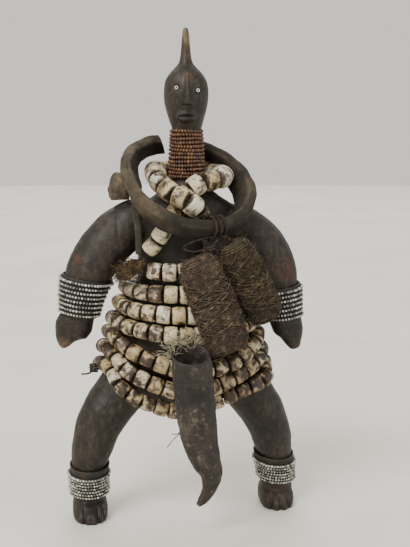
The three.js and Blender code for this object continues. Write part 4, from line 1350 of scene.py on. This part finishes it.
# Horn string
# A thin pale string of two plies, much frayed. It is laid over the horn's mouth and tied to the right
# bundle.
HORN_STRING = [
    (-16.5, -49, 115), (-15.6, -43.6, 121), (-10, -40.2, 126), (-3, -40.4, 128.8), (4.2, -41.6, 130.4),
]
STRING_FRAYS = 150
chance = random.Random(41)
line = smooth_rows(HORN_STRING, 8)
starts = [line[round((len(line) - 1) * (1 - chance.random() ** 1.6))] for _ in range(STRING_FRAYS)]
ends = [
    start + np.array([chance.gauss(-1, 4.4), -2 - abs(chance.gauss(0, 2.4)), chance.gauss(0, 4)])
    for start in starts
]
string_shapes = twisted(HORN_STRING, 0.7) + strands(chance, starts, ends, (0, -1.2, 0), 0.27, 6, 0.5)
fibre_piece("horn_string", string_shapes, "pale_string", "5e563e", "9c947a", "cfc9ae")

# Cuffs
# Bands of hide round the wrists and ankles, with rows of silvery white seed beads wound on them, a few
# of the beads lost.
CUFFS = {  # limb, heights of the hide's top, the top row and the bottom, rows, lean, bead, pitch, gaps
    "wrist_right": [RIGHT_ARM, (161.8, 161, 137.4), 8, (4, 11), (1.3, 0.72, 0.8), 2.07, 0.01],
    "wrist_left": [LEFT_ARM, (153.4, 152.6, 131.6), 7, (4, -9), (1.3, 0.72, 0.8), 2.07, 0.01],
    "ankle_right": [RIGHT_LEG, (36.6, 31.6, 17), 7, (12, 0), (1.4, 0.66, 0.72), 1.95, 0.015],
    "ankle_left": [LEFT_LEG, (37.6, 33.4, 19), 7, (12, 4), (1.4, 0.66, 0.72), 1.95, 0.015],
}
CUFF_ROOM = 0.8
HIDE_THICK = 0.9
RIB_STEPS = 6  # rings of the ground winding to each row of beads


def limb_outline(rings, z, lean, grow):
    """Where a leaning plane cuts a limb, stood off from it by grow"""
    front, side = [math.tan(math.radians(angle)) for angle in lean]
    middle = next(ring.mean(0) for ring in rings if ring.mean(0)[2] < z)
    stack = np.array(rings)
    rise = stack[:, :, 2] - z - (stack[:, :, 1] - middle[1]) * front + (stack[:, :, 0] - middle[0]) * side
    outline = []
    for i in range(stack.shape[1]):
        below = int(np.argmax(rise[:, i] < 0))
        high, low = rise[below - 1, i], rise[below, i]
        outline.append(stack[below - 1, i] + (stack[below, i] - stack[below - 1, i]) * high / (high - low))
    outline = np.array(outline)
    outward = (outline - outline.mean(0)) * (1, 1, 0)
    return outline + outward / np.linalg.norm(outward, axis=1)[:, None] * grow


seed_glass = glass_beads(
    "silver_glass", "0f0d0b", 0.3, (0.0, "7b796f"), (0.3, "9b9990"), (0.6, "b3b2a9"), (0.85, "cecdc5"),
    (1.0, "8a8578"),
)
cuff_hide = brown_hide("cuff_hide", 80, (0.3, "0f0c09"), (0.5, "1c1710"), (0.72, "3a2d1b"))
for seed, (name, (limb, levels, rows, lean, size, pitch, gaps)) in enumerate(CUFFS.items()):
    rings = limb_rings(limb, LIMB_SIDES, 8)
    top, first, bottom = levels
    winding = Beads(50 + seed)
    grow = 2 * CUFF_ROOM + HIDE_THICK + size[2]
    for row in range(rows):
        z = first + (bottom - first) * (row + 0.5) / rows
        outline = limb_outline(rings, z, lean, grow)
        bigger = 1.18 if row == 0 else 1
        seed_row(winding, outline, outline.mean(0), tuple(s * bigger for s in size), pitch, gaps=gaps)
    ground = []
    for step in range(RIB_STEPS * rows + 1):
        z = first + (bottom - first) * step / (RIB_STEPS * rows)
        rib = 0.35 * math.cos(math.tau * step / RIB_STEPS)
        ground.append(limb_outline(rings, z, lean, grow - 0.75 - rib))
    back = [limb_outline(rings, z, lean, CUFF_ROOM + HIDE_THICK + 0.05) for z in (bottom, first)]
    winding.add_ground(*skin(ground + back, joined=True))
    winding.piece(f"{name}_beads", seed_glass, "seed_beads")
    heights = np.linspace(top, bottom, 16)
    outer = [limb_outline(rings, z, lean, CUFF_ROOM + HIDE_THICK) for z in heights]
    inner = [limb_outline(rings, z, lean, CUFF_ROOM) for z in heights[::-1]]
    band = remade(f"{name}_hide", *skin(outer + inner, joined=True), uneven((0.12, 2.5, 14)), cuff_hide)
    takes_place(band, f"{name}_hide")
